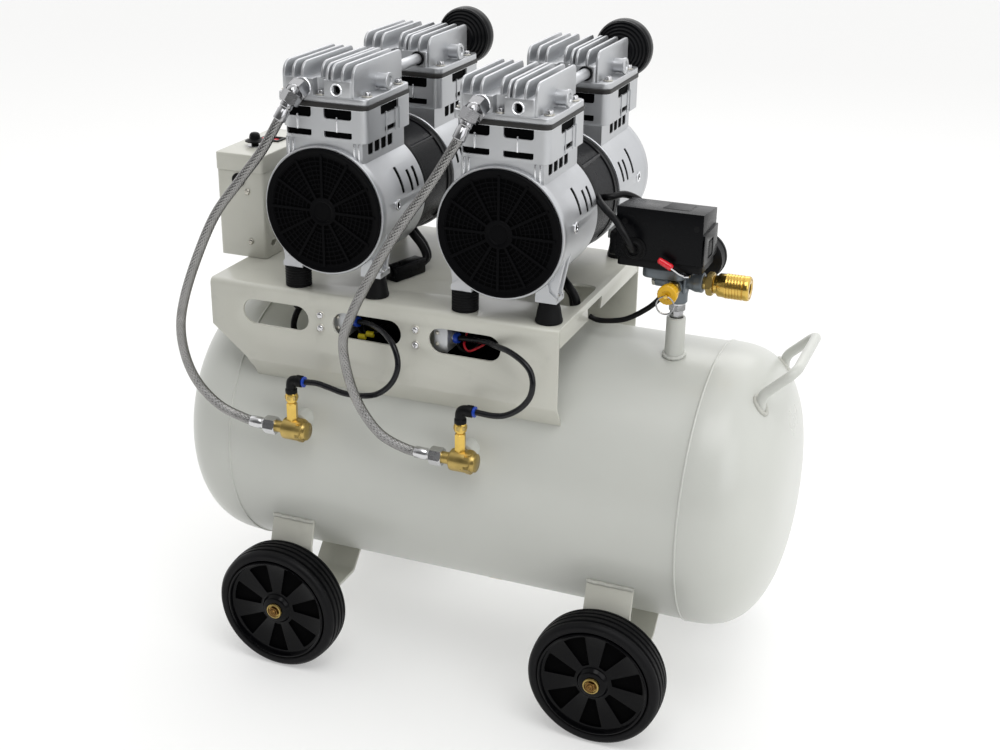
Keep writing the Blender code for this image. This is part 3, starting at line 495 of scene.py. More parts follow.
def arc(centre, radius, start, end, count):
    """Points on an arc, in degrees."""
    return [(centre[0] + radius * math.cos(math.radians(start + (end - start) * i / (count - 1))),
        centre[1] + radius * math.sin(math.radians(start + (end - start) * i / (count - 1))))
        for i in range(count)]


def rounded_rectangle(low, high, radius, count=6):
    (x0, y0), (x1, y1) = low, high
    return (arc((x1 - radius, y0 + radius), radius, -90, 0, count) + arc((x1 - radius, y1 - radius), radius,
        0, 90, count) + arc((x0 + radius, y1 - radius), radius, 90, 180,
        count) + arc((x0 + radius, y0 + radius), radius, 180, 270, count))


def obround(centre, length, height, count=12):
    x, z = centre
    half = (length - height) / 2
    return arc((x + half, z), height / 2, -90, 90, count) + arc((x - half, z), height / 2, 90, 270, count)


def dome_screw(name, at, axis, radius, material, height=None):
    """A pan-head screw with a shallow round recess."""
    height = height or radius * 0.62
    profile = [(0.0, height * 0.8)]
    profile += [(radius * 0.3, height * 0.8), (radius * 0.34, height), (radius * 0.62, height * 0.93)]
    profile += [(radius * 0.88, height * 0.66), (radius, height * 0.25), (radius, 0.0), (0.0, 0.0)]
    return lathe(name, profile, axis, at, material, steps=20)


def washer(at, axis, radius, height, edge, steps=24):
    """A plain plated washer with a worn outer edge."""
    profile = [(0.0, height), (radius - 0.0004, height), (radius, edge), (radius, 0.0), (0.0, 0.0)]
    return lathe("washer", profile, axis, at, ZINC_PLATE, steps=steps)


def hex_nut(name, at, axis, radius, length, material, roll=0.0):
    """A hexagon with turned-down corners."""
    made = rod(name, at, axis, length, radius, material, sides=6, roll=roll)
    cone = lathe("corner_turn", [(0.0, length + 0.0001), (radius * 0.88, length + 0.0001),
        (radius * 1.02, length - radius * 0.12), (radius * 1.02, radius * 0.12), (radius * 0.88, -0.0001),
        (0.0, -0.0001)], axis, at, material, steps=36)
    return boolean(made, [cone], "INTERSECT")


def put(made, body, slot_name=None, *nodes):
    """Makes a piece ride on a body and stand for its CAD nodes."""
    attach(made, body)
    if nodes:
        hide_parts(*nodes)
    return made


# ---- tank ---------------------------------------------------------------------------------
SEAM_LEFT_X, SEAM_RIGHT_X = -0.2555, 0.248
DOME_DEPTH, DOME_POWER = 0.083, 2.7
OUTLET_X, OUTLET_Y = 0.2023, -0.028
RISER_TOP_Z = 0.4195
CHECK_X = {"left": -0.159, "right": 0.0306}
CHECK_Y, CHECK_Z = -0.165, 0.286


def ripple(seed, size, waves):
    """The scale pattern of a hand-laid weld bead, for a lathe's wobble or a sweep's relief."""

    def height(turn, distance):
        scales = abs(math.sin(distance * waves + 0.5 * math.cos(turn)))
        rough = mnoise.noise(Vector((math.cos(turn) * 2 + seed, math.sin(turn) * 2, distance * 90)))
        return size * (0.6 * scales + 0.5 * rough)

    return height


def tank_surface_z(y, extra=0.0):
    return TANK_Z + math.sqrt(max(0.0, (TANK_R + extra) ** 2 - y * y))


def build_tank():
    count = 26
    angles = [math.radians(90) * (i / (count - 1)) for i in range(count)]
    dome = [(TANK_R * math.sin(a) ** (2 / DOME_POWER), DOME_DEPTH * math.cos(a) ** (2 / DOME_POWER))
        for a in angles]
    right = [(r, SEAM_RIGHT_X + d) for r, d in dome]
    left = [(r, SEAM_LEFT_X - d) for r, d in reversed(dome)]
    # The dished ends slip over the shell, so each seam has a small step and a bead.
    def seam(x, sign):
        return [(TANK_R + 0.0002, x + sign * 0.0005), (TANK_R - 0.0004, x - sign * 0.003),
            (TANK_R - 0.0011, x - sign * 0.0075)]

    middle = [(TANK_R - 0.0011, SEAM_RIGHT_X - 0.02 - i * 0.0463) for i in range(11)]
    profile = right[:-1] + seam(SEAM_RIGHT_X, 1) + middle + list(reversed(seam(SEAM_LEFT_X, -1))) + left[1:]

    def dents(a, h):
        place = Vector((h * 4.5, math.cos(a) * 0.9, math.sin(a) * 0.9))
        return 0.0001 * mnoise.noise(place)

    shell = lathe("tank_shell_body", profile, "X", (0, 0, TANK_Z), CREAM, steps=144, smooth=60,
        wobble=dents)
    pieces = [shell]
    for x, sign in ((SEAM_RIGHT_X, 1), (SEAM_LEFT_X, -1)):
        ring = [Vector((x - sign * 0.0022, (TANK_R - 0.0006) * math.cos(t),
            TANK_Z + (TANK_R - 0.0006) * math.sin(t))) for t in (math.tau * i / 360 for i in range(361))]
        pieces.append(sweep("seam_bead", ring, 0.0013, CREAM, 8, ripple(x, 0.0002, 900), caps=False))
    # The outlet's riser pipe and the bead around its foot.
    r = 0.0098
    pieces.append(lathe("riser", [(0.0068, RISER_TOP_Z - 0.01), (0.0068, RISER_TOP_Z - 0.0006),
        (0.0074, RISER_TOP_Z), (r - 0.001, RISER_TOP_Z), (r, RISER_TOP_Z - 0.001), (r, TANK_Z + 0.14)], "Z",
        (OUTLET_X, OUTLET_Y, 0), CREAM, steps=48))
    foot = []
    for i in range(97):
        t = math.tau * i / 96
        x, y = OUTLET_X + (r + 0.0006) * math.cos(t), OUTLET_Y + (r + 0.0006) * math.sin(t)
        foot.append(Vector((x, y, tank_surface_z(y) + 0.0008)))
    pieces.append(sweep("riser_bead", foot, 0.0018, CREAM, 10, ripple(3, 0.0004, 700), caps=False))
    # Bosses behind the check valves, and the drain boss below.
    for x in CHECK_X.values():
        pieces.append(rod("boss", (x - 0.006, -0.1515, CHECK_Z), "Y", 0.022, 0.011, CREAM, bevel=0.0008))
    pieces.append(rod("drain_boss", (0, 0, 0.079), "Z", 0.012, 0.012, CREAM, bevel=0.0008))
    tank = merge("tank_body", pieces)
    put(tank, FRAME_BODY, "cream_paint", "tank_shell")


def build_handle():
    foot_x, out_x, half = 0.3, 0.3313, 0.057

    def corner(a, b, c, radius, count=9):
        """Points of a bend of that radius at b, on the way from a to c."""
        a, b, c = Vector(a), Vector(b), Vector(c)
        back, ahead = (a - b).normalized(), (c - b).normalized()
        inside = back.angle(ahead)
        centre = b + (back + ahead).normalized() * (radius / math.sin(inside / 2))
        start = b + back * (radius / math.tan(inside / 2)) - centre
        hinge = start.cross(b - centre).normalized()
        sweep_angle = math.pi - inside
        return [centre + Matrix.Rotation(sweep_angle * i / (count - 1), 3, hinge) @ start
            for i in range(count)]

    corners = [(foot_x, -half, 0.325), (foot_x, -half, 0.361), (out_x, -half + 0.0015, 0.3902),
        (out_x, half - 0.0015, 0.3902), (foot_x, half, 0.361), (foot_x, half, 0.325)]
    radii = (0.018, 0.013, 0.013, 0.018)
    route = [Vector(corners[0])]
    for i, radius in enumerate(radii, start=1):
        route += corner(corners[i - 1], corners[i], corners[i + 1], radius)
    route.append(Vector(corners[-1]))
    pieces = [sweep("handle_tube", route, 0.0052, CREAM, 24)]
    for y in (-half, half):
        ring = []
        for i in range(49):
            t = math.tau * i / 48
            x, yy = foot_x + 0.006 * math.cos(t), y + 0.006 * math.sin(t)
            radial = math.sqrt(yy * yy)
            share = min(1.0, max(0.0, (x - SEAM_RIGHT_X) / DOME_DEPTH))
            across = TANK_R * (1 - share**DOME_POWER) ** (1 / DOME_POWER)
            ring.append(Vector((x, yy, TANK_Z + math.sqrt(max(0.0, across**2 - radial**2)))))
        pieces.append(sweep("handle_bead", ring, 0.0022, WELD, 8, ripple(y * 50, 0.0006, 800), caps=False))
    put(merge("pull_handle", pieces), FRAME_BODY, "cream_paint", "handle")


def build_drain_cock():
    stem = lathe("drain_stem", [(0.0, 0.06), (0.0036, 0.06), (0.0046, 0.061), (0.0046, 0.089),
        (0.0, 0.089)], "Z", (0, 0, 0), BRASS, steps=32)
    nut = hex_nut("drain_hex", (0, 0, 0.07), "Z", 0.008, 0.0078, BRASS)
    wing = prism("drain_wing", rounded_rectangle((-0.011, 0.056), (0.011, 0.066), 0.0035), -0.0014, 0.0014,
        "Y", BRASS, 0.0005)
    put(merge("drain_wing_cock", [stem, nut, wing]), "drain", "brass", "drain_cock")


# ---- running gear -------------------------------------------------------------------------
WHEEL_X = {"left": -0.187, "right": 0.1775}
WHEEL_R = 0.0712
AXLE_Z = WHEEL_R * math.cos(math.pi / 24)
STRAP_HALF_X, STRAP_THICK, STRAP_LEG_Y, STRAP_BOTTOM_Z = 0.025, 0.004, 0.1395, 0.052


def fillet_path(points, radius, count=6):
    """An open 2D path with its inner corners rounded."""
    made = [Vector(points[0])]
    for a, b, c in zip(points, points[1:], points[2:]):
        a, b, c = Vector(a), Vector(b), Vector(c)
        d1, d2 = (a - b), (c - b)
        turn = d1.angle(d2)
        reach = min(radius / math.tan(turn / 2), d1.length * 0.45, d2.length * 0.45)
        start, end = b + d1.normalized() * reach, b + d2.normalized() * reach
        for i in range(count):
            t = i / (count - 1)
            made.append(start * (1 - t) ** 2 + b * 2 * t * (1 - t) + end * t**2)
    made.append(Vector(points[-1]))
    return made


def bent_sheet(name, path, low_x, high_x, thick, material, columns=1):
    """A bent sheet from the middle line of its metal, a path of (y, z) points, drawn out along X."""
    shape = bmesh.new()
    sides = []
    for i, p in enumerate(path):
        before, after = path[max(0, i - 1)], path[min(len(path) - 1, i + 1)]
        along = (after - before).normalized()
        across = Vector((-along.y, along.x)) * thick / 2
        sides.append((p + across, p - across))
    outline = [a for a, _ in sides] + [b for _, b in reversed(sides)]
    rings = []
    for k in range(columns + 1):
        x = low_x + (high_x - low_x) * k / columns
        rings.append([shape.verts.new((x, q.x, q.y)) for q in outline])
    count, half = len(outline), len(path)
    for a, b in zip(rings, rings[1:]):
        for i in range(count):
            j = (i + 1) % count
            shape.faces.new((a[i], a[j], b[j], b[i]))
    for ring in (rings[0], rings[-1]):
        for i in range(half - 1):
            shape.faces.new((ring[i], ring[i + 1], ring[count - 2 - i], ring[count - 1 - i]))
    return finish_mesh(name, shape, material)


def build_strap(side):
    x = WHEEL_X[side]
    tab_y = 0.127
    tab_z = TANK_Z - math.sqrt((TANK_R + STRAP_THICK) ** 2 - tab_y**2)
    rest_z = TANK_Z - TANK_R - STRAP_THICK / 2 - 0.0004
    half = [(tab_y + 0.004, tab_z + 0.0135), (STRAP_LEG_Y, tab_z - 0.012), (STRAP_LEG_Y, STRAP_BOTTOM_Z),
        (0.042, STRAP_BOTTOM_Z), (0.016, rest_z)]
    points = [(-y, z) for y, z in half] + [(y, z) for y, z in reversed(half)]
    path = fillet_path(points, 0.011)
    strap = bent_sheet("strap_bar", path, x - STRAP_HALF_X, x + STRAP_HALF_X, STRAP_THICK, CREAM_WARM)
    soften(strap, 0.0007, 2, 50)
    pieces = [strap]
    for sign in (-1, 1):
        bead = []
        for i in range(41):
            t = i / 40
            bx = x - STRAP_HALF_X + 2 * STRAP_HALF_X * t
            bend = 0.0003 * math.sin(t * 23 + x * 40)
            bead.append(Vector((bx, sign * (tab_y + 0.0052), tab_z + 0.0152 + bend)))
        pieces.append(sweep("tab_bead", bead, 0.0022, WELD, 8, ripple(x * 9 + sign, 0.0003, 620)))
        # The axle stub with its washer and end bolt.
        start = sign * (STRAP_LEG_Y + 0.001)
        length = 0.1876 - STRAP_LEG_Y - 0.004
        pieces.append(rod("axle", (x, min(start, start + sign * length), AXLE_Z), "Y", length, 0.005, STEEL,
            sides=32))
    put(merge(f"wheel_bracket_{side}", pieces), FRAME_BODY, "cream_paint", f"wheel_strap_{side}")
    for sign, end in ((-1, "front"), (1, "rear")):
        out = Vector((0, sign, 0))
        washer = lathe("washer", [(0.0052, 0.0), (0.0084, 0.0), (0.0088, 0.0008), (0.0084, 0.0022),
            (0.0072, 0.0026), (0.0066, 0.0012), (0.0052, 0.001)], out, (x, sign * 0.1826, AXLE_Z),
            BRASS_WORN, steps=40)
        nut = hex_nut("axle_nut", (x, sign * 0.1836, AXLE_Z), out, 0.006, 0.003, COPPERY, roll=0.3)
        tip = lathe("axle_tip", [(0.0, 0.0038), (0.0012, 0.0038), (0.0018, 0.0044), (0.003, 0.0042),
            (0.0036, 0.0034), (0.0036, 0.0), (0.0, 0.0)], out, (x, sign * 0.1836, AXLE_Z), COPPERY,
            steps=24)
        put(merge(f"axle_bolt_{end}_{side}", [washer, nut, tip]), FRAME_BODY, "brass")


def build_wheel(end, side):
    """A ribbed tyre on a black hub with seven wedge-shaped recesses on each face."""
    sign = -1 if end == "front" else 1
    x, y = WHEEL_X[side], sign * 0.1642
    half = 0.0186
    steps = 120
    # Tyre: crowned tread with four grooves and a rounded shoulder.
    tread = []
    for i in range(49):
        h = half - 0.0042 - (2 * half - 0.0084) * i / 48
        crown = WHEEL_R - 0.0022 * (h / half) ** 2 - 0.0002
        groove = 0.0022 if any(abs(h - g) < 0.0012 for g in (-0.0105, -0.0035, 0.0035, 0.0105)) else 0.0
        tread.append((crown - groove, h))
    # Level with the floor: the crown keeps the widest ring at the wheel's radius.
    shoulder = arc((WHEEL_R - 0.007, half - 0.0052), 0.005, 90, 35, 6)
    profile = [(0.059, half - 0.004), (0.06, half - 0.0012), (0.0612, half - 0.0002)] + shoulder + tread
    profile += [(r, -h) for r, h in reversed(shoulder)]
    profile += [(0.0612, -half + 0.0002), (0.06, -half + 0.0012), (0.059, -half + 0.004)]
    tyre = lathe("tyre_ring", profile, "Y", (x, y, AXLE_Z), TYRE, steps=steps, smooth=30)
    # Hub disc, with its rim and boss raised.
    face = 0.0125
    hub_half = [(0.0051, 0.0178), (0.0135, 0.0178), (0.015, 0.0168), (0.0165, face + 0.001), (0.018, face),
        (0.0535, face + 0.0006), (0.0552, face + 0.0016), (0.0562, half - 0.001), (0.0572, half - 0.0003),
        (0.0584, half - 0.0008), (0.0592, half - 0.0036)]
    hub_profile = hub_half + [(r, -h) for r, h in reversed(hub_half)]
    hub = lathe("hub_disc", hub_profile, "Y", (x, y, AXLE_Z), BLACK_GLOSS, steps=steps)
    cutters, fills = [], []
    for face_sign in (-1, 1):
        for k in range(7):
            middle = math.degrees(math.tau * k / 7) + 12
            outline = arc((0, 0), 0.0525, middle - 13.5, middle + 13.5, 12)
            outline += arc((0, 0), 0.02, middle + 11.0, middle - 11.0, 6)
            low, high = (face - 0.0062, face + 0.012) if face_sign > 0 else (-face - 0.012, -face + 0.0062)
            cutter = prism("wedge", outline, low, high, "Y", SHADE_BLACK, 0.0008, 1)
            cutter.data.transform(Matrix.Translation((x, y, AXLE_Z)))
            cutters.append(cutter)
            # Near-black floors in the recesses: painted shade.
            low, high = ordered(face_sign * (face - 0.007), face_sign * (face - 0.0022))
            fill = prism("wedge_dark", outline, low, high, "Y", SHADE_BLACK)
            fill.data.transform(Matrix.Translation((x, y, AXLE_Z)))
            fills.append(fill)
    boolean(hub, [merge("wedges", cutters)])
    wheel = merge(f"wheel_{end}_{side}_detail", [tyre, hub] + fills)
    put(wheel, f"{end}_{side}_wheel", "tyre", f"wheel_{end}_{side}")


# ---- platform and control box -------------------------------------------------------------
PLATE_X0, PLATE_X1, PLATE_HALF_Y = -0.274, 0.1146, 0.1335
PLATE_TOP_Z, PLATE_BEND_Z, SHEET = 0.4272, 0.3427, 0.003
SLOT_X, SLOT_Z = (-0.197, -0.092, 0.016), 0.397


def build_platform():
    mid = PLATE_HALF_Y - SHEET / 2
    top = PLATE_TOP_Z - SHEET / 2
    half = [(0.1176, 0.3205), (mid, PLATE_BEND_Z), (mid, top)]
    points = [(-y, z) for y, z in half] + [(y, z) for y, z in reversed(half)]
    plate = bent_sheet("plate", fillet_path(points, 0.005, 7), PLATE_X0, PLATE_X1, SHEET, CREAM_WARM)
    flange = block("flange", (PLATE_X1 - SHEET, -0.129, PLATE_TOP_Z - 0.0205),
        (PLATE_X1, 0.129, PLATE_TOP_Z - 0.0012), CREAM_WARM)
    boolean(plate, [flange], "UNION")
    cutters = []
    for sign in (-1, 1):
        for x in SLOT_X:
            low, high = sorted((sign * (mid - 0.01), sign * (mid + 0.01)))
            cutters.append(prism("slot", obround((x, SLOT_Z), 0.0775, 0.027), low, high, "Y", CREAM_WARM))
        # The left end of each skirt is cut off at an angle.
        low, high = sorted((sign * 0.1, sign * 0.15))
        corner = [(PLATE_X0 - 0.01, 0.3845), (PLATE_X0 - 0.002, 0.378), (PLATE_X0 + 0.04, 0.344),
            (PLATE_X0 + 0.044, 0.33), (PLATE_X0 + 0.044, 0.3), (PLATE_X0 - 0.01, 0.3)]
        cutters.append(prism("corner", corner, low, high, "Y", CREAM_WARM))
    hole = rounded_rectangle((0.079, -0.064), (0.1085, 0.006), 0.01)
    cutters.append(prism("cable_hole", hole, 0.4, 0.44, "Z", CREAM_WARM))
    notch = arc((-0.023, PLATE_TOP_Z - 0.0075), 0.023, 180, 360, 16)
    cutters.append(prism("notch", notch, PLATE_X1 - 0.01, PLATE_X1 + 0.01, "X", CREAM_WARM))
    boolean(plate, cutters)
    soften(plate, 0.0006, 2, 50)
    pieces = [plate]
    # Lip weld to the tank, in short runs.
    for sign in (-1, 1):
        for start in (-0.205, -0.095, 0.02):
            run = [Vector((start + 0.045 * i / 36, sign * 0.1172, tank_surface_z(0.1172) - 0.0008))
                for i in range(37)]
            pieces.append(sweep("lip_bead", run, 0.0022, WELD, 8, ripple(start * 9, 0.0006, 800)))
    put(merge("pump_platform", pieces), FRAME_BODY, "cream_paint", "platform")
    screws = []
    for sign in (-1, 1):
        out = Vector((0, sign, 0))
        for x, zs in ((-0.1445, (0.4045, 0.3905)), (-0.037, (0.405, 0.3885))):
            for z in zs:
                at = Vector((x, sign * PLATE_HALF_Y, z))
                screws.append(washer(at, out, 0.0046, 0.0008, 0.0004))
                screws.append(dome_screw("screw", at + out * 0.0007, out, 0.0036, STEEL))
    put(merge("platform_screws", screws), FRAME_BODY, "bright_steel")


BOX_LOW = (-0.3065, -0.057, PLATE_TOP_Z + 0.0003)
BOX_HIGH = (-0.2503, 0.063, 0.5415)
ROCKER_AT = (-0.279, 0.015)
RESET_AT = (-0.281, -0.018)


def build_control_box():
    low, high = Vector(BOX_LOW), Vector(BOX_HIGH)
    outline = rounded_rectangle((low.x, low.y), (high.x, high.y), 0.003, 4)
    shell = prism("case", outline, low.z, high.z - 0.019, "Z", CREAM_WARM, 0.0006)
    # The lid overlaps the case by the thickness of its sheet.
    lid_low = high.z - 0.0195
    lid_outline = rounded_rectangle((low.x - 0.0008, low.y - 0.0008), (high.x + 0.0008, high.y + 0.0008),
        0.0034, 4)
    lid = prism("lid", lid_outline, lid_low, high.z, "Z", CREAM_WARM, 0.0016, 3)
    rx, ry = ROCKER_AT
    cutters = [prism("rocker_hole", rounded_rectangle((rx - 0.0105, ry - 0.0068),
        (rx + 0.0105, ry + 0.0068), 0.001, 3), high.z - 0.009, high.z + 0.01, "Z", SHADE_BLACK),
        rod("reset_hole", (*RESET_AT, high.z - 0.0095), "Z", 0.02, 0.0045, SHADE_BLACK)]
    boolean(lid, cutters)
    cable_hole = rod("cable_hole", (-0.28, low.y - 0.005, 0.513), "Y", 0.012, 0.006, SHADE_BLACK)
    side_hole = prism("side_hole", obround((-0.04, 0.442), 0.011, 0.007), high.x - 0.006, high.x + 0.006,
        "X", SHADE_BLACK)
    boolean(shell, [cable_hole, side_hole])
    case = merge("control_case", [shell, lid])
    put(case, FRAME_BODY, "cream_paint", "control_box")
    # A near-black disc of painted shade behind the holes, screws, and a grommet.
    bits = [lathe("grommet", [(0.0032, 0.0016), (0.0052, 0.0016), (0.0076, 0.0008), (0.0076, 0.0),
        (0.0058, -0.0006), (0.0032, -0.0006)], "Y", (-0.28, low.y - 0.0014, 0.513), RUBBER, steps=32),
        rod("dark", (-0.28, low.y + 0.0015, 0.513), "Y", 0.002, 0.005, SHADE_BLACK)]
    put(merge("control_grommet", bits), FRAME_BODY, "black_rubber")
    screws = []
    for x, z in ((-0.2685, 0.4455), (-0.27, 0.501)):
        screws.append(dome_screw("screw", (x, low.y, z), (0, -1, 0), 0.0034, ZINC_PLATE))
    screws.append(dome_screw("screw", (-0.28, high.y, 0.444), (0, 1, 0), 0.0034, BRASS_WORN))
    for y in (-0.046, 0.052):
        screws.append(dome_screw("screw", (low.x - 0.0008, y, high.z - 0.0105), (-1, 0, 0), 0.0028,
            BRASS_WORN))
    put(merge("control_screws", screws), FRAME_BODY, "brass")
    # Rocker bezel.
    outer = prism("bezel", rounded_rectangle((rx - 0.0132, ry - 0.0095), (rx + 0.0132, ry + 0.0095), 0.0015,
        4), high.z, high.z + 0.0016, "Z", BLACK_SATIN, 0.0005)
    inner = prism("opening", rounded_rectangle((rx - 0.0102, ry - 0.0066), (rx + 0.0102, ry + 0.0066),
        0.0008, 3), high.z - 0.01, high.z + 0.01, "Z", BLACK_SATIN)
    boolean(outer, [inner])
    put(outer, FRAME_BODY, "black_plastic")


def build_rocker():
    x, y = ROCKER_AT
    pivot_z = BOX_HIGH[2] - 0.001
    outline = [(-0.0095, -0.003), (-0.0096, 0.0034), (-0.006, 0.0022), (0.0, 0.0012), (0.006, 0.0008),
        (0.0094, 0.0004), (0.0092, -0.003), (0.0, -0.004)]
    rocker = prism("rocker_key", [(x + a, pivot_z + b) for a, b in outline], y - 0.006, y + 0.006, "Y", RED,
        0.0006)
    put(rocker, "rocker", "red_plastic", "rocker_switch")


def build_reset_button():
    profile = [(0.0, 0.015), (0.0026, 0.0148), (0.0042, 0.0142), (0.0054, 0.0128), (0.006, 0.0105),
        (0.0062, 0.008), (0.009, 0.0066), (0.0106, 0.0061), (0.0108, 0.0053), (0.01, 0.0048),
        (0.004, 0.0048), (0.004, -0.004), (0.0, -0.004)]
    button = lathe("reset_dome", profile, "Z", (*RESET_AT, BOX_HIGH[2]), BLACK_SATIN, steps=48)
    put(button, "reset", "black_plastic", "reset_button")
    ring = lathe("reset_nut", [(0.0044, 0.0008), (0.0078, 0.0008), (0.008, 0.0), (0.0044, 0.0)], "Z",
        (*RESET_AT, BOX_HIGH[2]), CHROME, steps=36)
    put(ring, FRAME_BODY, "bright_steel")


# ---- hoses and tubes ----------------------------------------------------------------------
HOSE_ROUTES = {"left": [(-0.1632, -0.1535, 0.6212), (-0.1674, -0.1572, 0.612), (-0.184, -0.166, 0.5801),
    (-0.2069, -0.172, 0.5492), (-0.2342, -0.178, 0.5119), (-0.2573, -0.182, 0.4632),
    (-0.2737, -0.184, 0.4187), (-0.2801, -0.184, 0.3849), (-0.2768, -0.182, 0.3513),
    (-0.2657, -0.178, 0.3234), (-0.246, -0.172, 0.301), (-0.222, -0.166, 0.289), (-0.205, -0.165, 0.2862),
    (-0.1967, -0.165, 0.286)],
    "right": [(0.0243, -0.1535, 0.6212), (0.0208, -0.1572, 0.612), (0.0151, -0.162, 0.6),
    (-0.0037, -0.17, 0.5667), (-0.0269, -0.176, 0.5317), (-0.0454, -0.18, 0.5015),
    (-0.0678, -0.184, 0.4601), (-0.0828, -0.186, 0.4277), (-0.0913, -0.186, 0.4003),
    (-0.0869, -0.184, 0.363), (-0.0759, -0.18, 0.3304), (-0.0571, -0.175, 0.3037), (-0.034, -0.167, 0.289),
    (-0.015, -0.165, 0.2862), (-0.007, -0.165, 0.286)]}
TUBE_ROUTES = {"left": [(-0.1487, -0.165, 0.3415), (-0.1334, -0.165, 0.3425), (-0.1184, -0.165, 0.3398),
    (-0.1013, -0.165, 0.3367), (-0.0809, -0.164, 0.3374), (-0.0655, -0.163, 0.3421),
    (-0.0525, -0.162, 0.3534), (-0.046, -0.16, 0.3666), (-0.046, -0.157, 0.3796), (-0.054, -0.151, 0.3925),
    (-0.069, -0.14, 0.399), (-0.085, -0.129, 0.4), (-0.099, -0.119, 0.398), (-0.114, -0.113, 0.395)],
    "right": [(0.0409, -0.165, 0.3415), (0.0598, -0.1655, 0.3412), (0.0736, -0.166, 0.3442),
    (0.0881, -0.166, 0.3537), (0.098, -0.166, 0.3667), (0.1007, -0.165, 0.3805), (0.097, -0.162, 0.3922),
    (0.087, -0.158, 0.4), (0.07, -0.15, 0.4045), (0.052, -0.138, 0.403), (0.038, -0.127, 0.401),
    (0.0207, -0.118, 0.3976), (-0.002, -0.113, 0.3945)]}
HOSE_R, TUBE_R = 0.005, 0.003
BRAID_STRANDS, BRAID_TWIST = 12, 105.0


def braid(turn, distance):
    """Two families of wire bands, wound opposite ways, with dark diamond gaps between them."""
    one = math.cos(BRAID_STRANDS * (turn + distance * BRAID_TWIST))
    other = math.cos(BRAID_STRANDS * (turn - distance * BRAID_TWIST))
    return 0.00026 * max(one, other)


def build_hoses():
    for side in ("left", "right"):
        path = smooth_route(HOSE_ROUTES[side], 0.00045)
        hose = sweep(f"braided_hose_{side}", path, HOSE_R - 0.0003, BRAID, 96, braid)
        put(hose, FRAME_BODY, "steel_braid", f"hose_{side}")
        path = smooth_route(TUBE_ROUTES[side], 0.003)
        tube = sweep(f"air_tube_{side}", path, TUBE_R, TUBE, 20)
        put(tube, FRAME_BODY, "black_rubber", f"unloader_tube_{side}")


# ---- pumps --------------------------------------------------------------------------------
ENDS = {"front": -1, "rear": 1}
CASE_R, CASE_WALL, CASE_IN, CASE_OUT = 0.0652, 0.0035, 0.037, 0.137
HEAD_Z, FIN_TOP_Z = 0.1135, 0.1445
FOOT_X, FOOT_Y = 0.0443, 0.114
HEAD_Y = {"front": (-0.134, -0.03), "rear": (0.041, 0.149)}
CHAMBER_REAR_Y = {"front": -0.0225, "rear": 0.147}


def local(made, side):
    """Moves a piece made about a pump's centre to its place."""
    made.data.transform(Matrix.Translation((PUMP_X[side], 0, PUMP_Z)))
    return made


def ordered(a, b):
    return (a, b) if a < b else (b, a)


def flank_slot(flank, outer, inner, first, last):
    """The outline of a slot between two radii, its ends in degrees from the case's top."""
    outline = arc((0, 0), outer, 90 - last, 90 - first, 8) + arc((0, 0), inner, 90 - first, 90 - last, 8)
    return [(flank * a, b) for a, b in outline]


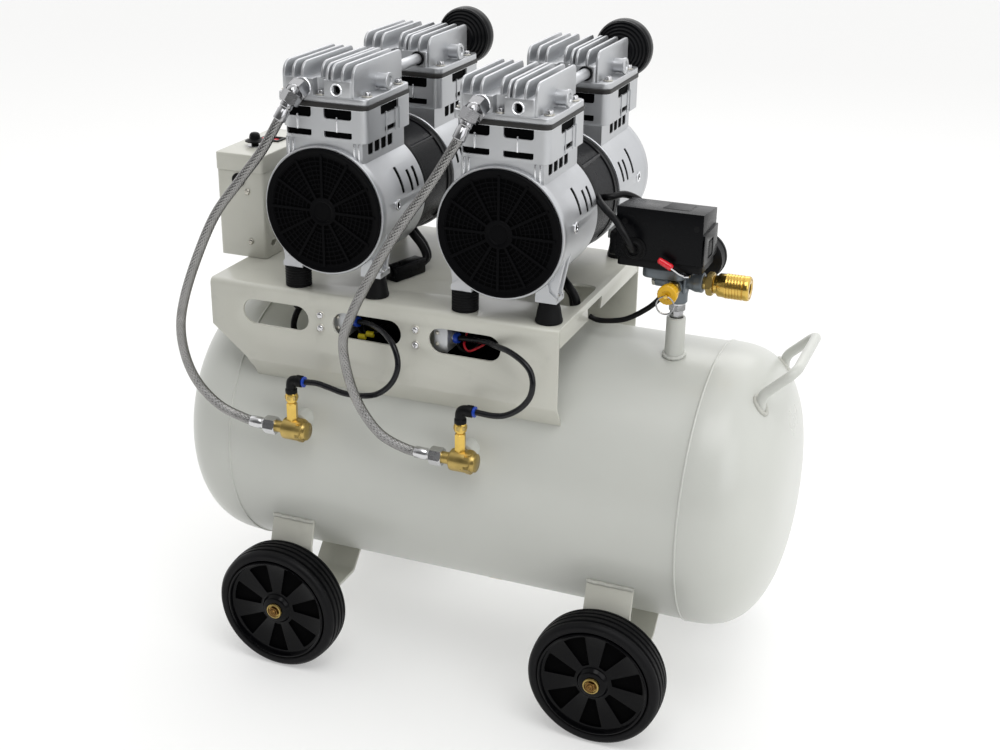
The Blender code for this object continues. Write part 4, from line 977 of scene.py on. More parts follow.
def build_crankcase(side, end):
    """A round case with a neck, feet, slots, vents and webs."""
    sign = ENDS[end]
    shell = lathe("case", [(CASE_R - CASE_WALL, CASE_IN), (CASE_R - 0.0006, CASE_IN),
        (CASE_R, CASE_IN + 0.0006), (CASE_R, CASE_OUT - 0.011), (CASE_R + 0.0007, CASE_OUT - 0.01),
        (CASE_R + 0.0007, CASE_OUT - 0.0012), (CASE_R - 0.0001, CASE_OUT), (CASE_R - 0.0016, CASE_OUT),
        (CASE_R - 0.0022, CASE_OUT - 0.0008), (CASE_R - CASE_WALL, CASE_OUT - 0.002),
        (CASE_R - CASE_WALL, CASE_OUT - 0.03)], (0, sign, 0), (0, 0, 0), CAST, steps=128)
    # Neck between the case and the cylinder.
    low, high = ordered(sign * 0.0382, sign * 0.132)
    neck = block("neck", (-0.042, low, 0.044), (0.042, high, 0.0707), CAST)
    bore = rod("bore", (0, -0.2, 0), "Y", 0.4, CASE_R - CASE_WALL, CAST, sides=128)
    lugs = []
    for x in (-FOOT_X, FOOT_X):
        low, high = ordered(sign * (FOOT_Y - 0.011), sign * (FOOT_Y + 0.011))
        lug = prism("lug", [(x - 0.011, -0.0672), (x + 0.011, -0.0672), (x + 0.011, -0.0618),
            (x + (0.0035 if x > 0 else 0.01), -0.056), (x + (0.0 if x > 0 else 0.01), -0.04),
            (x - (0.01 if x > 0 else 0.0), -0.04), (x - (0.01 if x > 0 else 0.0035), -0.056),
            (x - 0.011, -0.0618)], low, high, "Y", CAST)
        lugs.append(lug)
    solid = boolean(shell, [neck] + lugs, "UNION")
    cutters = [bore, rod("cylinder_bore", (0, sign * 0.085, 0.04), "Z", 0.04, 0.0264, SHADE_BLACK, sides=64)]
    # Narrow slots that run round the upper flank, and one small hole; the near-black fills in them are
    # painted shade.
    fills = []
    for flank in (-1, 1):
        for y, first, last in ((0.0855, 54, 78.5), (0.0653, 61, 80.5), (0.0519, 60.5, 79.5)):
            outline = flank_slot(flank, 0.072, 0.05, first, last)
            cutters.append(prism("slot", outline, sign * y - 0.0028, sign * y + 0.0028, "Y", SHADE_BLACK))
            outline = flank_slot(flank, 0.0645, 0.06, first, last)
            fills.append(prism("slot_dark", outline, sign * y - 0.0027, sign * y + 0.0027, "Y", SHADE_BLACK))
        cutters.append(rod("hole", (flank * 0.05, sign * 0.102, 0.005), "X", flank * 0.02, 0.0036,
            SHADE_BLACK))
        # Vents in the neck's flank, with near-black fills behind them as painted shade.
        for i in range(4):
            y = sign * (0.071 + i * 0.0145)
            x_low, x_high = ordered(flank * 0.037, flank * 0.046)
            outline = rounded_rectangle((y - 0.0055, 0.057), (y + 0.0055, 0.0712), 0.002, 4)
            cutters.append(prism("vent", outline, x_low, x_high, "X", SHADE_BLACK))
            x_low, x_high = ordered(flank * 0.0372, flank * 0.0412)
            fills.append(prism("vent_dark", outline, x_low, x_high, "X", SHADE_BLACK))
    boolean(solid, cutters)
    pieces = [solid] + fills
    for flank in (-1, 1):
        eyelet = [(0.0034, 0.0), (0.0058, 0.0), (0.0058, 0.0007), (0.0048, 0.0013), (0.0036, 0.0011),
            (0.0034, 0.0006)]
        # A near-black disc in each small hole: painted shade.
        pieces.append(rod("hole_dark", (flank * 0.064, sign * 0.102, 0.005), (flank, 0, 0), 0.0008, 0.0036,
            SHADE_BLACK))
        pieces.append(lathe("eyelet", eyelet, (flank, 0, 0), (flank * 0.0647, sign * 0.102, 0.005),
            MACHINED, steps=36))
    # Two upright ridges at the neck's outer corners.
    for x in (-0.0385, -0.0335, 0.0335, 0.0385):
        low, high = ordered(sign * 0.1315, sign * 0.1335)
        pieces.append(block("ridge", (x - 0.0011, low, 0.05), (x + 0.0011, high, 0.07), MACHINED, 0.0004))
    # A near-black sleeve inside the case, seen through the slots and vents: painted shade.
    liner = lathe("liner", [(0.06, 0.043), (0.0612, 0.043), (0.0612, 0.125), (0.06, 0.125)], (0, sign, 0),
        (0, 0, 0), SHADE_BLACK, steps=64)
    pieces.append(liner)
    # Two thin webs above each foot, up the case's side.
    for x in (-1, 1):
        outline = [(x * 0.0553, -0.065), (x * 0.0553, -0.056), (x * 0.062, -0.023), (x * 0.063, -0.013),
            (x * 0.056, -0.018), (x * 0.044, -0.042), (x * 0.04, -0.06)]
        for y in (FOOT_Y - 0.0085, FOOT_Y + 0.0055):
            low, high = ordered(sign * y, sign * (y + 0.003))
            pieces.append(prism("web", outline, low, high, "Y", CAST, 0.0006))
    if end == "rear":
        pieces.append(lathe("end_wall", [(0.0, 0.1338), (0.013, 0.1338), (0.014, 0.1332), (0.06, 0.1332),
            (0.0618, 0.1336), (0.0618, 0.132), (0.0, 0.132)], "Y", (0, 0, 0), CAST_DARK, steps=64))
    case = merge(f"crankcase_{end}_{side}", pieces)
    local(case, side)
    put(case, FRAME_BODY, "cast_aluminium", f"{side}_crankcase_{end}")
    screws = []
    for x in (-FOOT_X, FOOT_X):
        at = Vector((x + (0.006 if x > 0 else -0.006), sign * FOOT_Y, -0.0618))
        screws.append(washer(at, "Z", 0.005, 0.001, 0.0005))
        screws.append(dome_screw("screw", at + Vector((0, 0, 0.0009)), "Z", 0.0037, STEEL, 0.0028))
    put(local(merge(f"foot_screws_{end}_{side}", screws), side), FRAME_BODY, "bright_steel")


def build_grille(side, end):
    """A round guard: nine rings, twelve ribs, and three thin bars between each two ribs."""
    sign = ENDS[end]
    out = (0, sign, 0)
    back = 0.1373 if end == "front" else 0.1343
    front = back + 0.0028
    # The backing is a near-black disc behind the guard: painted shade for the dark inside of the case.
    pieces = [lathe("backing", [(0.0, back), (0.06, back), (0.06, back + 0.0009), (0.0, back + 0.0009)],
        out, (0, 0, 0), SHADE_BLACK, steps=72),
        lathe("rim", [(0.056, back), (0.0631, back), (0.0631, front - 0.0008), (0.0622, front),
        (0.06, front), (0.0592, front - 0.0006), (0.056, front - 0.0008)], out, (0, 0, 0), GRILLE,
        steps=128),
        lathe("hub", [(0.0, front - 0.0016), (0.009, front - 0.0016), (0.0102, front - 0.0004),
        (0.0118, front), (0.0138, front), (0.0146, front - 0.0008), (0.0146, back), (0.0, back)], out,
        (0, 0, 0), GRILLE, steps=72)]
    # Concentric wires and radial bars, as one fine mesh.
    thick, first_ring, pitch = 0.0008, 0.0185, 0.0046
    for i in range(9):
        radius = first_ring + pitch * i
        pieces.append(lathe("ring", [(radius - thick, back), (radius + thick, back),
            (radius + thick * 0.7, front - 0.0012), (radius - thick * 0.7, front - 0.0012)], out, (0, 0, 0),
            GRILLE, steps=96))
    bars = bmesh.new()
    count = 48
    for k in range(count):
        a = math.tau * k / count
        major = k % 4 == 0
        inner = 0.014 if major else 0.024
        wide, top = (0.00135, front - 0.0002) if major else (0.00045, front - 0.0013)
        length = 0.0575 - inner
        low, high = ordered(sign * back, sign * top)
        place = (Matrix.Rotation(a, 4, "Y") @ Matrix.Translation((inner + length / 2, (low + high) / 2, 0))
            @ Matrix.Diagonal((length, high - low, 2 * wide, 1.0)))
        bmesh.ops.create_cube(bars, size=1.0, matrix=place)
    bars = finish_mesh("bars", bars, GRILLE)
    pieces.append(bars)
    grille = local(merge(f"fan_grille_{end}_{side}", pieces), side)
    put(grille, FRAME_BODY, "black_plastic", *([f"{side}_fan_grille"] if end == "front" else []))


def cylinder_window(span, z_low, z_high, radius, depth, axis):
    """A pocket in a cylinder's side, with rounded lower corners."""
    outline = arc((span[1] - radius, z_low + radius), radius, -90, 0, 6)
    outline += [(span[1], z_high), (span[0], z_high)]
    outline += arc((span[0] + radius, z_low + radius), radius, 180, 270, 6)
    return prism("window", outline, *depth, axis, SHADE_BLACK)


def build_cylinder(side, end):
    sign = ENDS[end]
    low, high = HEAD_Y[end]
    body = prism("cylinder", rounded_rectangle((-0.0432, low), (0.047, high), 0.008, 8), 0.0708, 0.103, "Z",
        CAST)
    cutters = [rod("bore", (0, sign * 0.085, 0.06), "Z", 0.06, 0.0265, CAST, sides=64)]
    for span in ((-0.04, -0.0121), (0.0018, 0.0319)):
        for depth in ((low - 0.01, low + 0.012), (high - 0.012, high + 0.01)):
            cutters.append(cylinder_window(span, 0.0925, 0.104, 0.003, depth, "Y"))
            cutters.append(cylinder_window(span, 0.0742, 0.0804, 0.002, depth, "Y"))
    for depth in ((-0.05, -0.037), (0.04, 0.05)):
        cutters.append(cylinder_window((low + 0.033, low + 0.073), 0.093, 0.104, 0.003, depth, "X"))
        cutters.append(cylinder_window((low + 0.042, low + 0.066), 0.075, 0.08, 0.002, depth, "X"))
    boolean(body, cutters)
    # Near-black pocket floors as painted shade, thin ribs on the panels, and a bright machined land under
    # the gasket.
    inside = prism("inside", rounded_rectangle((-0.0412, low + 0.0022), (0.045, high - 0.0022), 0.007, 8),
        0.072, 0.1024, "Z", SHADE_BLACK)
    boolean(inside, [rod("bore", (0, sign * 0.085, 0.06), "Z", 0.06, 0.027, CAST, sides=64)])
    pieces = [body, inside]
    for x in (-0.027, 0.016):
        pieces.append(block("rib", (x - 0.0008, low - 0.0009, 0.08), (x + 0.0008, low + 0.001, 0.095),
            MACHINED, 0.0003))
    for y in (0.045, 0.066, 0.075):
        pieces.append(block("rib", (0.0462, low + y - 0.0007, 0.072), (0.0479, low + y + 0.0007, 0.095),
            CAST, 0.0003))
    land = prism("land", rounded_rectangle((-0.0434, low - 0.0002), (0.0472, high + 0.0002), 0.008, 8),
        0.1025, 0.1031, "Z", MACHINED, 0.0002)
    hole = rod("bore", (0, sign * 0.085, 0.06), "Z", 0.06, 0.0265, MACHINED, sides=64)
    boolean(land, [hole])
    liner = lathe("bore_liner", [(0.0262, 0.0715), (0.0275, 0.0715), (0.0275, 0.1028), (0.0262, 0.1028)],
        "Z", (0, sign * 0.085, 0), MACHINED, steps=64)
    piece = merge(f"cylinder_{end}_{side}_detail", pieces + [land, liner])
    put(local(piece, side), FRAME_BODY, "cast_aluminium", f"{side}_cylinder_{end}")
    gasket = prism("gasket_sheet", rounded_rectangle((-0.0438, low - 0.0006), (0.0476, high + 0.0006),
        0.008, 8), 0.1029, 0.1074, "Z", GASKET, 0.0004)
    put(local(merge(f"gasket_{end}_{side}", [gasket]), side), FRAME_BODY, "black_rubber")


FIN_X = (-0.0425, -0.0323, -0.0225, -0.0064, 0.0046, 0.01, 0.021, 0.0322)


def build_head(side, end):
    low, high = HEAD_Y[end]
    back = CHAMBER_REAR_Y[end]
    front = low + 0.0025
    flange = prism("flange", rounded_rectangle((-0.043, low + 0.0015), (0.047, high - 0.0015), 0.008, 8),
        0.107, HEAD_Z, "Z", CAST, 0.0008)
    chamber = prism("chamber", rounded_rectangle((-0.0427, front), (0.0321, back), 0.004, 6), 0.11, 0.1295,
        "Z", CAST, 0.0012, 2)
    # The screw's well is cut into the chamber and stops the fin that would cross it.
    well_x = (-0.0105, 0.0015)
    well = prism("well", rounded_rectangle((well_x[0], low - 0.01), (well_x[1], low + 0.012), 0.002, 4),
        HEAD_Z + 0.0003, 0.16, "Z", CAST)
    cutters = [well]
    if end == "front":
        cutters.append(rod("port_hole", (0.0148, low - 0.01, 0.1205), "Y", 0.022, 0.0046, SHADE_BLACK))
    boolean(chamber, cutters)
    pieces = [flange, chamber]
    # Fins: upright ribs with their outer top corner rounded.
    for x in FIN_X:
        near = front + (0.012 if well_x[0] < x < well_x[1] else 0.001)
        radius = 0.0125
        corner = arc((near + radius, FIN_TOP_Z - radius), radius, 180, 90, 10)
        far = arc((back - 0.007, FIN_TOP_Z - 0.006), 0.006, 90, 0, 6)
        outline = [(near, HEAD_Z - 0.002)] + corner + far + [(back - 0.001, HEAD_Z + 0.002)]
        fin = prism("fin", outline, x - 0.0014, x + 0.0014, "X", CAST)
        pieces.append(soften(fin, 0.0006, 2, 50))
    # Round boss along X on the right flank, with its machined end.
    boss_y = (low + high) / 2 + 0.004
    pieces.append(lathe("boss", [(0.0, 0.03), (0.0075, 0.03), (0.0075, 0.044), (0.0085, 0.0442),
        (0.0085, 0.046), (0.008, 0.0466), (0.0052, 0.0466), (0.0046, 0.0452), (0.0, 0.0452)], "X",
        (0, boss_y, 0.1225), CAST, steps=48))
    # Ear with a column on the left flank.
    ear = rounded_rectangle((-0.052, low + 0.006), (-0.04, low + 0.029), 0.005, 6)
    pieces.append(prism("ear", ear, 0.1045, HEAD_Z - 0.0005, "Z", CAST, 0.0006))
    pieces.append(rod("column", (-0.0475, low + 0.0175, 0.078), "Z", 0.0265, 0.0036, CAST, sides=24))
    head = merge("head_casting", pieces)
    parts = [head]
    screws = ((-0.0045, low + 0.0085), (0.04, low + 0.018), (0.04, low + 0.088), (-0.0475, low + 0.0175))
    for x, y in screws:
        parts.append(washer((x, y, HEAD_Z + 0.0002), "Z", 0.0052, 0.0009, 0.0005, 28))
        parts.append(lathe("cap_screw", [(0.0, 0.0018), (0.0017, 0.0018), (0.0019, 0.004), (0.0032, 0.004),
            (0.0036, 0.0034), (0.0036, 0.0), (0.0, 0.0)], "Z", (x, y, HEAD_Z + 0.0008), STEEL, steps=28))
    if end == "front":
        # Bright rings round the two ports in the front plate.
        for x, outer, inner in ((-0.0225, 0.01, 0.005), (0.0148, 0.0066, 0.0046)):
            ring = [(inner, 0.0), (outer, 0.0), (outer, 0.0034), (outer - 0.0006, 0.004),
                (inner + 0.0006, 0.004), (inner, 0.0034)]
            parts.append(lathe("port_ring", ring, (0, -1, 0), (x, front + 0.003, 0.1205), MACHINED,
                steps=48))
        # A near-black disc in the port: painted shade.
        parts.append(rod("port_dark", (0.0148, front + 0.006, 0.1205), "Y", 0.01, 0.0044, SHADE_BLACK))
    put(local(merge(f"head_{end}_{side}_detail", parts), side), FRAME_BODY, "cast_aluminium",
        f"{side}_head_{end}")


def build_elbow(side):
    """The plated union on the front head, with its two nuts and the hose's ferrule."""
    port = Vector((-0.0225, -0.133, 0.1205))
    out = Vector((0, -1, 0))
    hose = [Vector(p) - Vector((PUMP_X[side], 0, PUMP_Z)) for p in HOSE_ROUTES[side][:2]]
    down = (hose[1] - hose[0]).normalized()
    start = hose[0] - down * 0.013
    ferrule = [(0.0, 0.0), (0.006, 0.0), (0.0066, 0.0008), (0.0066, 0.005), (0.0058, 0.006),
        (0.0058, 0.0084), (0.0064, 0.0092), (0.0064, 0.019), (0.0056, 0.02), (0.0, 0.02)]
    bend = [port + out * 0.013, port + out * 0.0165, (port + out * 0.02) * 0.4 + start * 0.6,
        start + down * 0.002]
    pieces = [rod("thread", port - out * 0.006, out, 0.01, 0.006, ZINC_PLATE, sides=32),
        hex_nut("union_nut", port + out * 0.0008, Vector((-0.08, -0.93, -0.34)), 0.0114, 0.013, CHROME,
        roll=0.35),
        sweep("bend", smooth_route(bend, 0.0008), 0.0058, CHROME, 32),
        hex_nut("hose_nut", start - down * 0.0035, down, 0.0104, 0.011, CHROME, roll=0.2),
        lathe("ferrule", ferrule, down, start + down * 0.007, CHROME, steps=40)]
    put(local(merge(f"hose_union_{side}", pieces), side), FRAME_BODY, "bright_steel")


def build_feet(side):
    """Rubber feet under the lugs: ringed on the left of each pump, conical on its right."""
    low, high = PLATE_TOP_Z + 0.0003 - PUMP_Z, -0.0675
    ringed = [(0.0, high), (0.0122, high), (0.0131, high - 0.001)]
    rings = 7
    step = (high - low - 0.002) / rings
    for i in range(rings):
        z = high - 0.0012 - i * step
        ringed += [(0.0135, z), (0.0137, z - step * 0.35), (0.013, z - step * 0.7)]
    ringed += [(0.0137, low + 0.0006), (0.0131, low), (0.0, low)]
    conical = [(0.0, high), (0.0095, high), (0.0102, high - 0.0012), (0.0104, high - 0.005),
        (0.0112, high - 0.007), (0.013, low + 0.0045), (0.0136, low + 0.003), (0.0137, low + 0.0008),
        (0.0131, low), (0.0, low)]
    for end, sign in ENDS.items():
        for flank, x in (("left", -FOOT_X), ("right", FOOT_X)):
            profile = ringed if flank == "left" else conical
            foot = lathe("foot", profile, "Z", (x, sign * FOOT_Y, 0), RUBBER, steps=48)
            local(foot, side)
            foot.name = f"rubber_foot_{side}_{end}_{flank}"
            put(foot, FRAME_BODY, "black_rubber", f"{side}_foot_{end}_{flank}")


def build_stator(side):
    """The motor's laminated stack between the crankcases, with its end windings and through bolts."""
    profile = [(0.0362, -0.0367)]
    profile.append((0.06, -0.0367))
    profile.append((0.0606, -0.033))
    layers = 24
    for i in range(layers):
        y = -0.026 + 0.052 * i / layers
        profile += [(0.0617, y), (0.0622, y + 0.0005), (0.0622, y + 0.0016), (0.0617, y + 0.00205)]
    profile += [(0.0606, 0.033), (0.06, 0.0367), (0.0362, 0.0367)]
    stack = lathe("stack", profile, "Y", (0, 0, 0), STATOR, steps=96, smooth=30)
    pieces = [stack]
    for k in range(4):
        a = math.radians(45 + 90 * k)
        at = (0.0607 * math.cos(a), -0.0362, 0.0607 * math.sin(a))
        pieces.append(rod("bolt", at, "Y", 0.0724, 0.0026, STATOR, sides=16))
    ring = [(0.0622, 0.0268), (0.0634, 0.0272), (0.0634, 0.035), (0.0628, 0.0358), (0.06, 0.0358),
        (0.06, 0.0268)]
    for sign in (-1, 1):
        pieces.append(lathe("end_ring", ring, (0, sign, 0), (0, 0, 0), BLACK_SATIN, steps=96))
    put(local(merge(f"stator_{side}_detail", pieces), side), FRAME_BODY, "stator_paint", f"{side}_stator")


def build_rotor(side):
    """Shaft, core, two cranks and a cooling fan at each end."""
    pieces = [lathe("shaft", [(0.0, 0.1315), (0.0052, 0.1315), (0.006, 0.1305), (0.006, -0.1305),
        (0.0052, -0.1315), (0.0, -0.1315)], "Y", (0, 0, 0), STEEL, steps=40),
        lathe("core", [(0.006, -0.034), (0.034, -0.034), (0.035, -0.033), (0.035, 0.033), (0.034, 0.034),
        (0.006, 0.034)], "Y", (0, 0, 0), STATOR, steps=72)]
    for sign in (-1, 1):
        low, high = ordered(sign * 0.076, sign * 0.094)
        pieces.append(rod("crank", (0.007, low, 0), "Y", high - low, 0.0135, CAST, sides=40, bevel=0.0006))
        hub = lathe("hub", [(0.0058, 0.1175), (0.016, 0.1175), (0.017, 0.1185), (0.017, 0.1285),
            (0.016, 0.1295), (0.0058, 0.1295)], (0, sign, 0), (0, 0, 0), BLACK_SATIN, steps=48)
        pieces.append(hub)
        for k in range(4):
            blade = bmesh.new()
            rows = []
            for i in range(8):
                r = 0.015 + 0.0405 * i / 7
                twist = math.radians(52 - 18 * i / 7)
                half = 0.0072 - 0.0015 * i / 7
                lean = 0.12 * (i / 7) ** 2
                row = []
                for w in (-1, -0.33, 0.33, 1):
                    across = w * half / math.sin(twist) * 0.62
                    bow = 0.0012 * (1 - w * w)
                    row.append(blade.verts.new(Matrix.Rotation(lean, 3, "Y")
                        @ Vector((r, sign * (0.1235 + w * half * 0.62 + bow), across))))
                rows.append(row)
            for a, b in zip(rows, rows[1:]):
                for j in range(3):
                    blade.faces.new((a[j], a[j + 1], b[j + 1], b[j]))
            blade = finish_mesh("blade", blade, BLACK_SATIN)
            modify(blade, "SOLIDIFY", thickness=0.0014, offset=0.0)
            shade(blade)
            blade.data.transform(Matrix.Rotation(math.tau * k / 4, 4, "Y"))
            pieces.append(blade)
    put(local(merge(f"rotor_{side}_detail", pieces), side), f"{side}_pump_rotor", "bright_steel",
        f"{side}_rotor")


def build_piston(side, end):
    sign = ENDS[end]
    y = sign * 0.085
    ring = lathe("big_end", [(0.029, -0.005), (0.0325, -0.005), (0.033, -0.0045), (0.033, 0.0045),
        (0.0325, 0.005), (0.029, 0.005)], "Y", (0, y, 0), CAST, steps=64)
    rod_outline = [(-0.009, 0.031), (0.009, 0.031), (0.006, 0.05), (0.008, 0.0765), (-0.008, 0.0765),
        (-0.006, 0.05)]
    link = prism("link", rod_outline, y - 0.0045, y + 0.0045, "Y", CAST, 0.0008)
    crown = lathe("crown", [(0.0, 0.0858), (0.0238, 0.0858), (0.0252, 0.085), (0.0255, 0.084),
        (0.0255, 0.0822), (0.0248, 0.0818), (0.0248, 0.0805), (0.0255, 0.0801), (0.0255, 0.0768),
        (0.0248, 0.076), (0.0, 0.076)], "Z", (0, y, 0), MACHINED, steps=64)
    piece = merge(f"piston_{side}_{end}_detail", [ring, link, crown])
    put(local(piece, side), f"{side}_{end}_piston", "cast_aluminium", f"{side}_piston_{end}")


def build_transfer_pipe(side):
    start, end = CHAMBER_REAR_Y["front"] + 0.0003, HEAD_Y["rear"][0] + 0.0017
    profile = [(0.0, start), (0.0052, start), (0.0055, start + 0.0004), (0.0055, end - 0.0004),
        (0.0052, end), (0.0, end)]
    pipe = lathe("pipe", profile, "Y", (0.022, 0, 0.123), CAST, steps=40)
    seal = lathe("seal", [(0.0056, end - 0.0052), (0.0072, end - 0.0048), (0.0078, end - 0.003),
        (0.0072, end - 0.0012), (0.0056, end - 0.0008)], "Y", (0.022, 0, 0.123), BLACK, steps=40)
    put(local(merge(f"transfer_pipe_{side}_detail", [pipe, seal]), side), FRAME_BODY, "cast_aluminium",
        f"{side}_transfer_pipe")


def build_filter(side):
    """The intake silencer on the rear head: a glossy black mushroom with rings on its front face."""
    back = CHAMBER_REAR_Y["rear"]
    front = [(0.0, 0.0005), (0.013, 0.0005), (0.015, 0.0015), (0.0155, 0.006)]
    for i in range(4):
        radius, y = 0.017 + 0.0034 * i, 0.0075 + 0.0026 * i
        front += [(radius, y), (radius + 0.002, y + 0.0002), (radius + 0.0026, y + 0.0016),
            (radius + 0.0032, y + 0.0022)]
    rim = [(0.0303, 0.0185), (0.0315, 0.021), (0.0318, 0.024), (0.0318, 0.03), (0.031, 0.033),
        (0.029, 0.0352), (0.026, 0.036)]
    rear = [(0.021, 0.036), (0.02, 0.035), (0.012, 0.0348), (0.01, 0.0358), (0.0, 0.0359)]
    profile = [(r, y + back) for r, y in front + rim + rear]
    pieces = [lathe("drum", profile, "Y", (0.021, 0, 0.127), BLACK, steps=96)]
    # Sixteen near-black discs stand for the inlet holes: painted shade.
    for k in range(16):
        a = math.tau * k / 16
        at = Vector((0.021 + 0.016 * math.cos(a), back + 0.0346, 0.127 + 0.016 * math.sin(a)))
        pieces.append(rod("inlet_hole", at, "Y", 0.0006, 0.0014, SHADE_BLACK, sides=12))
    put(local(merge(f"intake_filter_{side}_detail", pieces), side), FRAME_BODY, "black_plastic",
        f"{side}_intake_filter")


# ---- outlet group -------------------------------------------------------------------------
OUTLET_ARM_Z, VALVE_STEM_X = 0.4585, 0.2168
SWITCH_LOW = Vector((0.1434, -0.055, 0.4745))
SWITCH_HIGH = Vector((0.2325, -0.003, 0.5345))
SAFETY_Z = 0.4553


def build_manifold():
    x, y = OUTLET_X, OUTLET_Y
    steel = [lathe("nipple", [(0.0, 0.4199), (0.0066, 0.4199), (0.0068, 0.4203), (0.0068, 0.4274),
        (0.0068, 0.44), (0.0, 0.44)], "Z", (x, y, 0), CHROME, steps=40),
        hex_nut("nipple_hex", (x, y, 0.4272), "Z", 0.0094, 0.0068, CHROME, roll=0.3),
        lathe("washer", [(0.007, 0.4338), (0.009, 0.4338), (0.009, 0.435), (0.007, 0.435)], "Z", (x, y, 0),
        STEEL, steps=40)]
    casting = [lathe("trunk", [(0.0, 0.4352), (0.0092, 0.4352), (0.0101, 0.4362), (0.0101, 0.444),
        (0.0108, 0.448), (0.0116, 0.456), (0.0112, 0.461), (0.0098, 0.466), (0.0, 0.466)], "Z", (x, y, 0),
        ZINC_CAST, steps=56)]
    plate = prism("plate", rounded_rectangle((0.169, -0.05), (0.2115, -0.005), 0.0085, 8), 0.4632, 0.4741,
        "Z", ZINC_CAST, 0.0016, 3)
    casting.append(plate)
    arm = lathe("arm", [(0.0, 0.0), (0.0085, 0.0), (0.0085, 0.013), (0.0098, 0.017), (0.0102, 0.0182),
        (0.0102, 0.025), (0.0094, 0.0258), (0.0, 0.0258)], "X", (x, y, OUTLET_ARM_Z), ZINC_CAST, steps=56)
    casting.append(arm)
    casting.append(rod("stem_boss", (VALVE_STEM_X, y, OUTLET_ARM_Z + 0.004), "Z", 0.0064, 0.0052, ZINC_CAST,
        sides=40, bevel=0.0005))
    casting.append(lathe("safety_port", [(0.0, 0.0), (0.0074, 0.0), (0.0074, 0.014), (0.008, 0.015),
        (0.008, 0.0168), (0.0074, 0.0172), (0.0, 0.0172)], (0, -1, 0), (x, y, SAFETY_Z), ZINC_CAST,
        steps=48))
    casting.append(lathe("gauge_port", [(0.0, 0.0), (0.0062, 0.0), (0.0062, 0.029), (0.0, 0.029)],
        (0, 1, 0), (x, y, 0.455), ZINC_CAST, steps=40))
    # Ribs where the arms meet the trunk, and a blanking plug on the left.
    for px in (-0.0085, 0.0085):
        casting.append(block("rib", (x + px - 0.0016, y - 0.012, 0.448),
            (x + px + 0.0016, y + 0.012, 0.464), ZINC_CAST, 0.001))
    casting.append(rod("left_port", (x - 0.023, y, 0.456), "X", 0.02, 0.0068, ZINC_CAST, sides=40,
        bevel=0.0006))
    plug = hex_nut("plug", (x - 0.0262, y, 0.456), "X", 0.0066, 0.0034, ZINC_PLATE)
    body = merge("manifold_detail", steel + casting + [plug])
    put(body, FRAME_BODY, "grey_zinc", "manifold")


def build_lever():
    x, y = VALVE_STEM_X, OUTLET_Y
    stem = lathe("stem", [(0.0, 0.4734), (0.0026, 0.4734), (0.003, 0.4738), (0.0042, 0.4732),
        (0.0042, 0.4695), (0.003, 0.4693), (0.0, 0.4693)], "Z", (x, y, 0), STEEL, steps=32)
    nut = hex_nut("stem_nut", (x, y, 0.4718), "Z", 0.004, 0.002, ZINC_PLATE)
    route = smooth_route([(x, y + 0.0035, 0.4722), (x, y - 0.028, 0.4725), (x - 0.0015, y - 0.0312, 0.474),
        (x - 0.0075, y - 0.0322, 0.4765), (x - 0.0143, y - 0.0345, 0.4812)], 0.0012)
    strip = bmesh.new()
    rows = []
    for i, p in enumerate(route):
        before, after = route[max(0, i - 1)], route[min(len(route) - 1, i + 1)]
        along = (after - before).normalized()
        side_way = along.cross(Vector((0, 0, 1))).normalized()
        up = side_way.cross(along).normalized()
        half = 0.0036 if i > 3 else 0.003 + 0.0002 * i
        rows.append([strip.verts.new(p + side_way * w * half + up * h * 0.0007) for w,
            h in ((-1, -1), (1, -1), (1, 1), (-1, 1))])
    for a, b in zip(rows, rows[1:]):
        for k in range(4):
            strip.faces.new((a[k], a[(k + 1) % 4], b[(k + 1) % 4], b[k]))
    strip.faces.new(list(reversed(rows[0])))
    strip.faces.new(rows[-1])
    arm = finish_mesh("arm", strip, STEEL, 30)
    grip_route = smooth_route([(x - 0.0128, y - 0.034, 0.4805), (x - 0.017, y - 0.035, 0.4829),
        (x - 0.022, y - 0.0356, 0.4856), (x - 0.027, y - 0.036, 0.4882)], 0.0006)
    total = route_length(grip_route)

    def girth(distance):
        edge = min(distance, total - distance)
        return (0.0036 - 0.0006 * distance / total) * min(1.0,
            0.55 + math.sqrt(max(0.0, edge) / 0.002) * 0.45)

    grip = sweep("grip", grip_route, girth, RED, 24)
    piece = merge("ball_valve_handle", [stem, nut, arm, grip])
    put(piece, "valve_lever", "bright_steel", "ball_valve_lever")


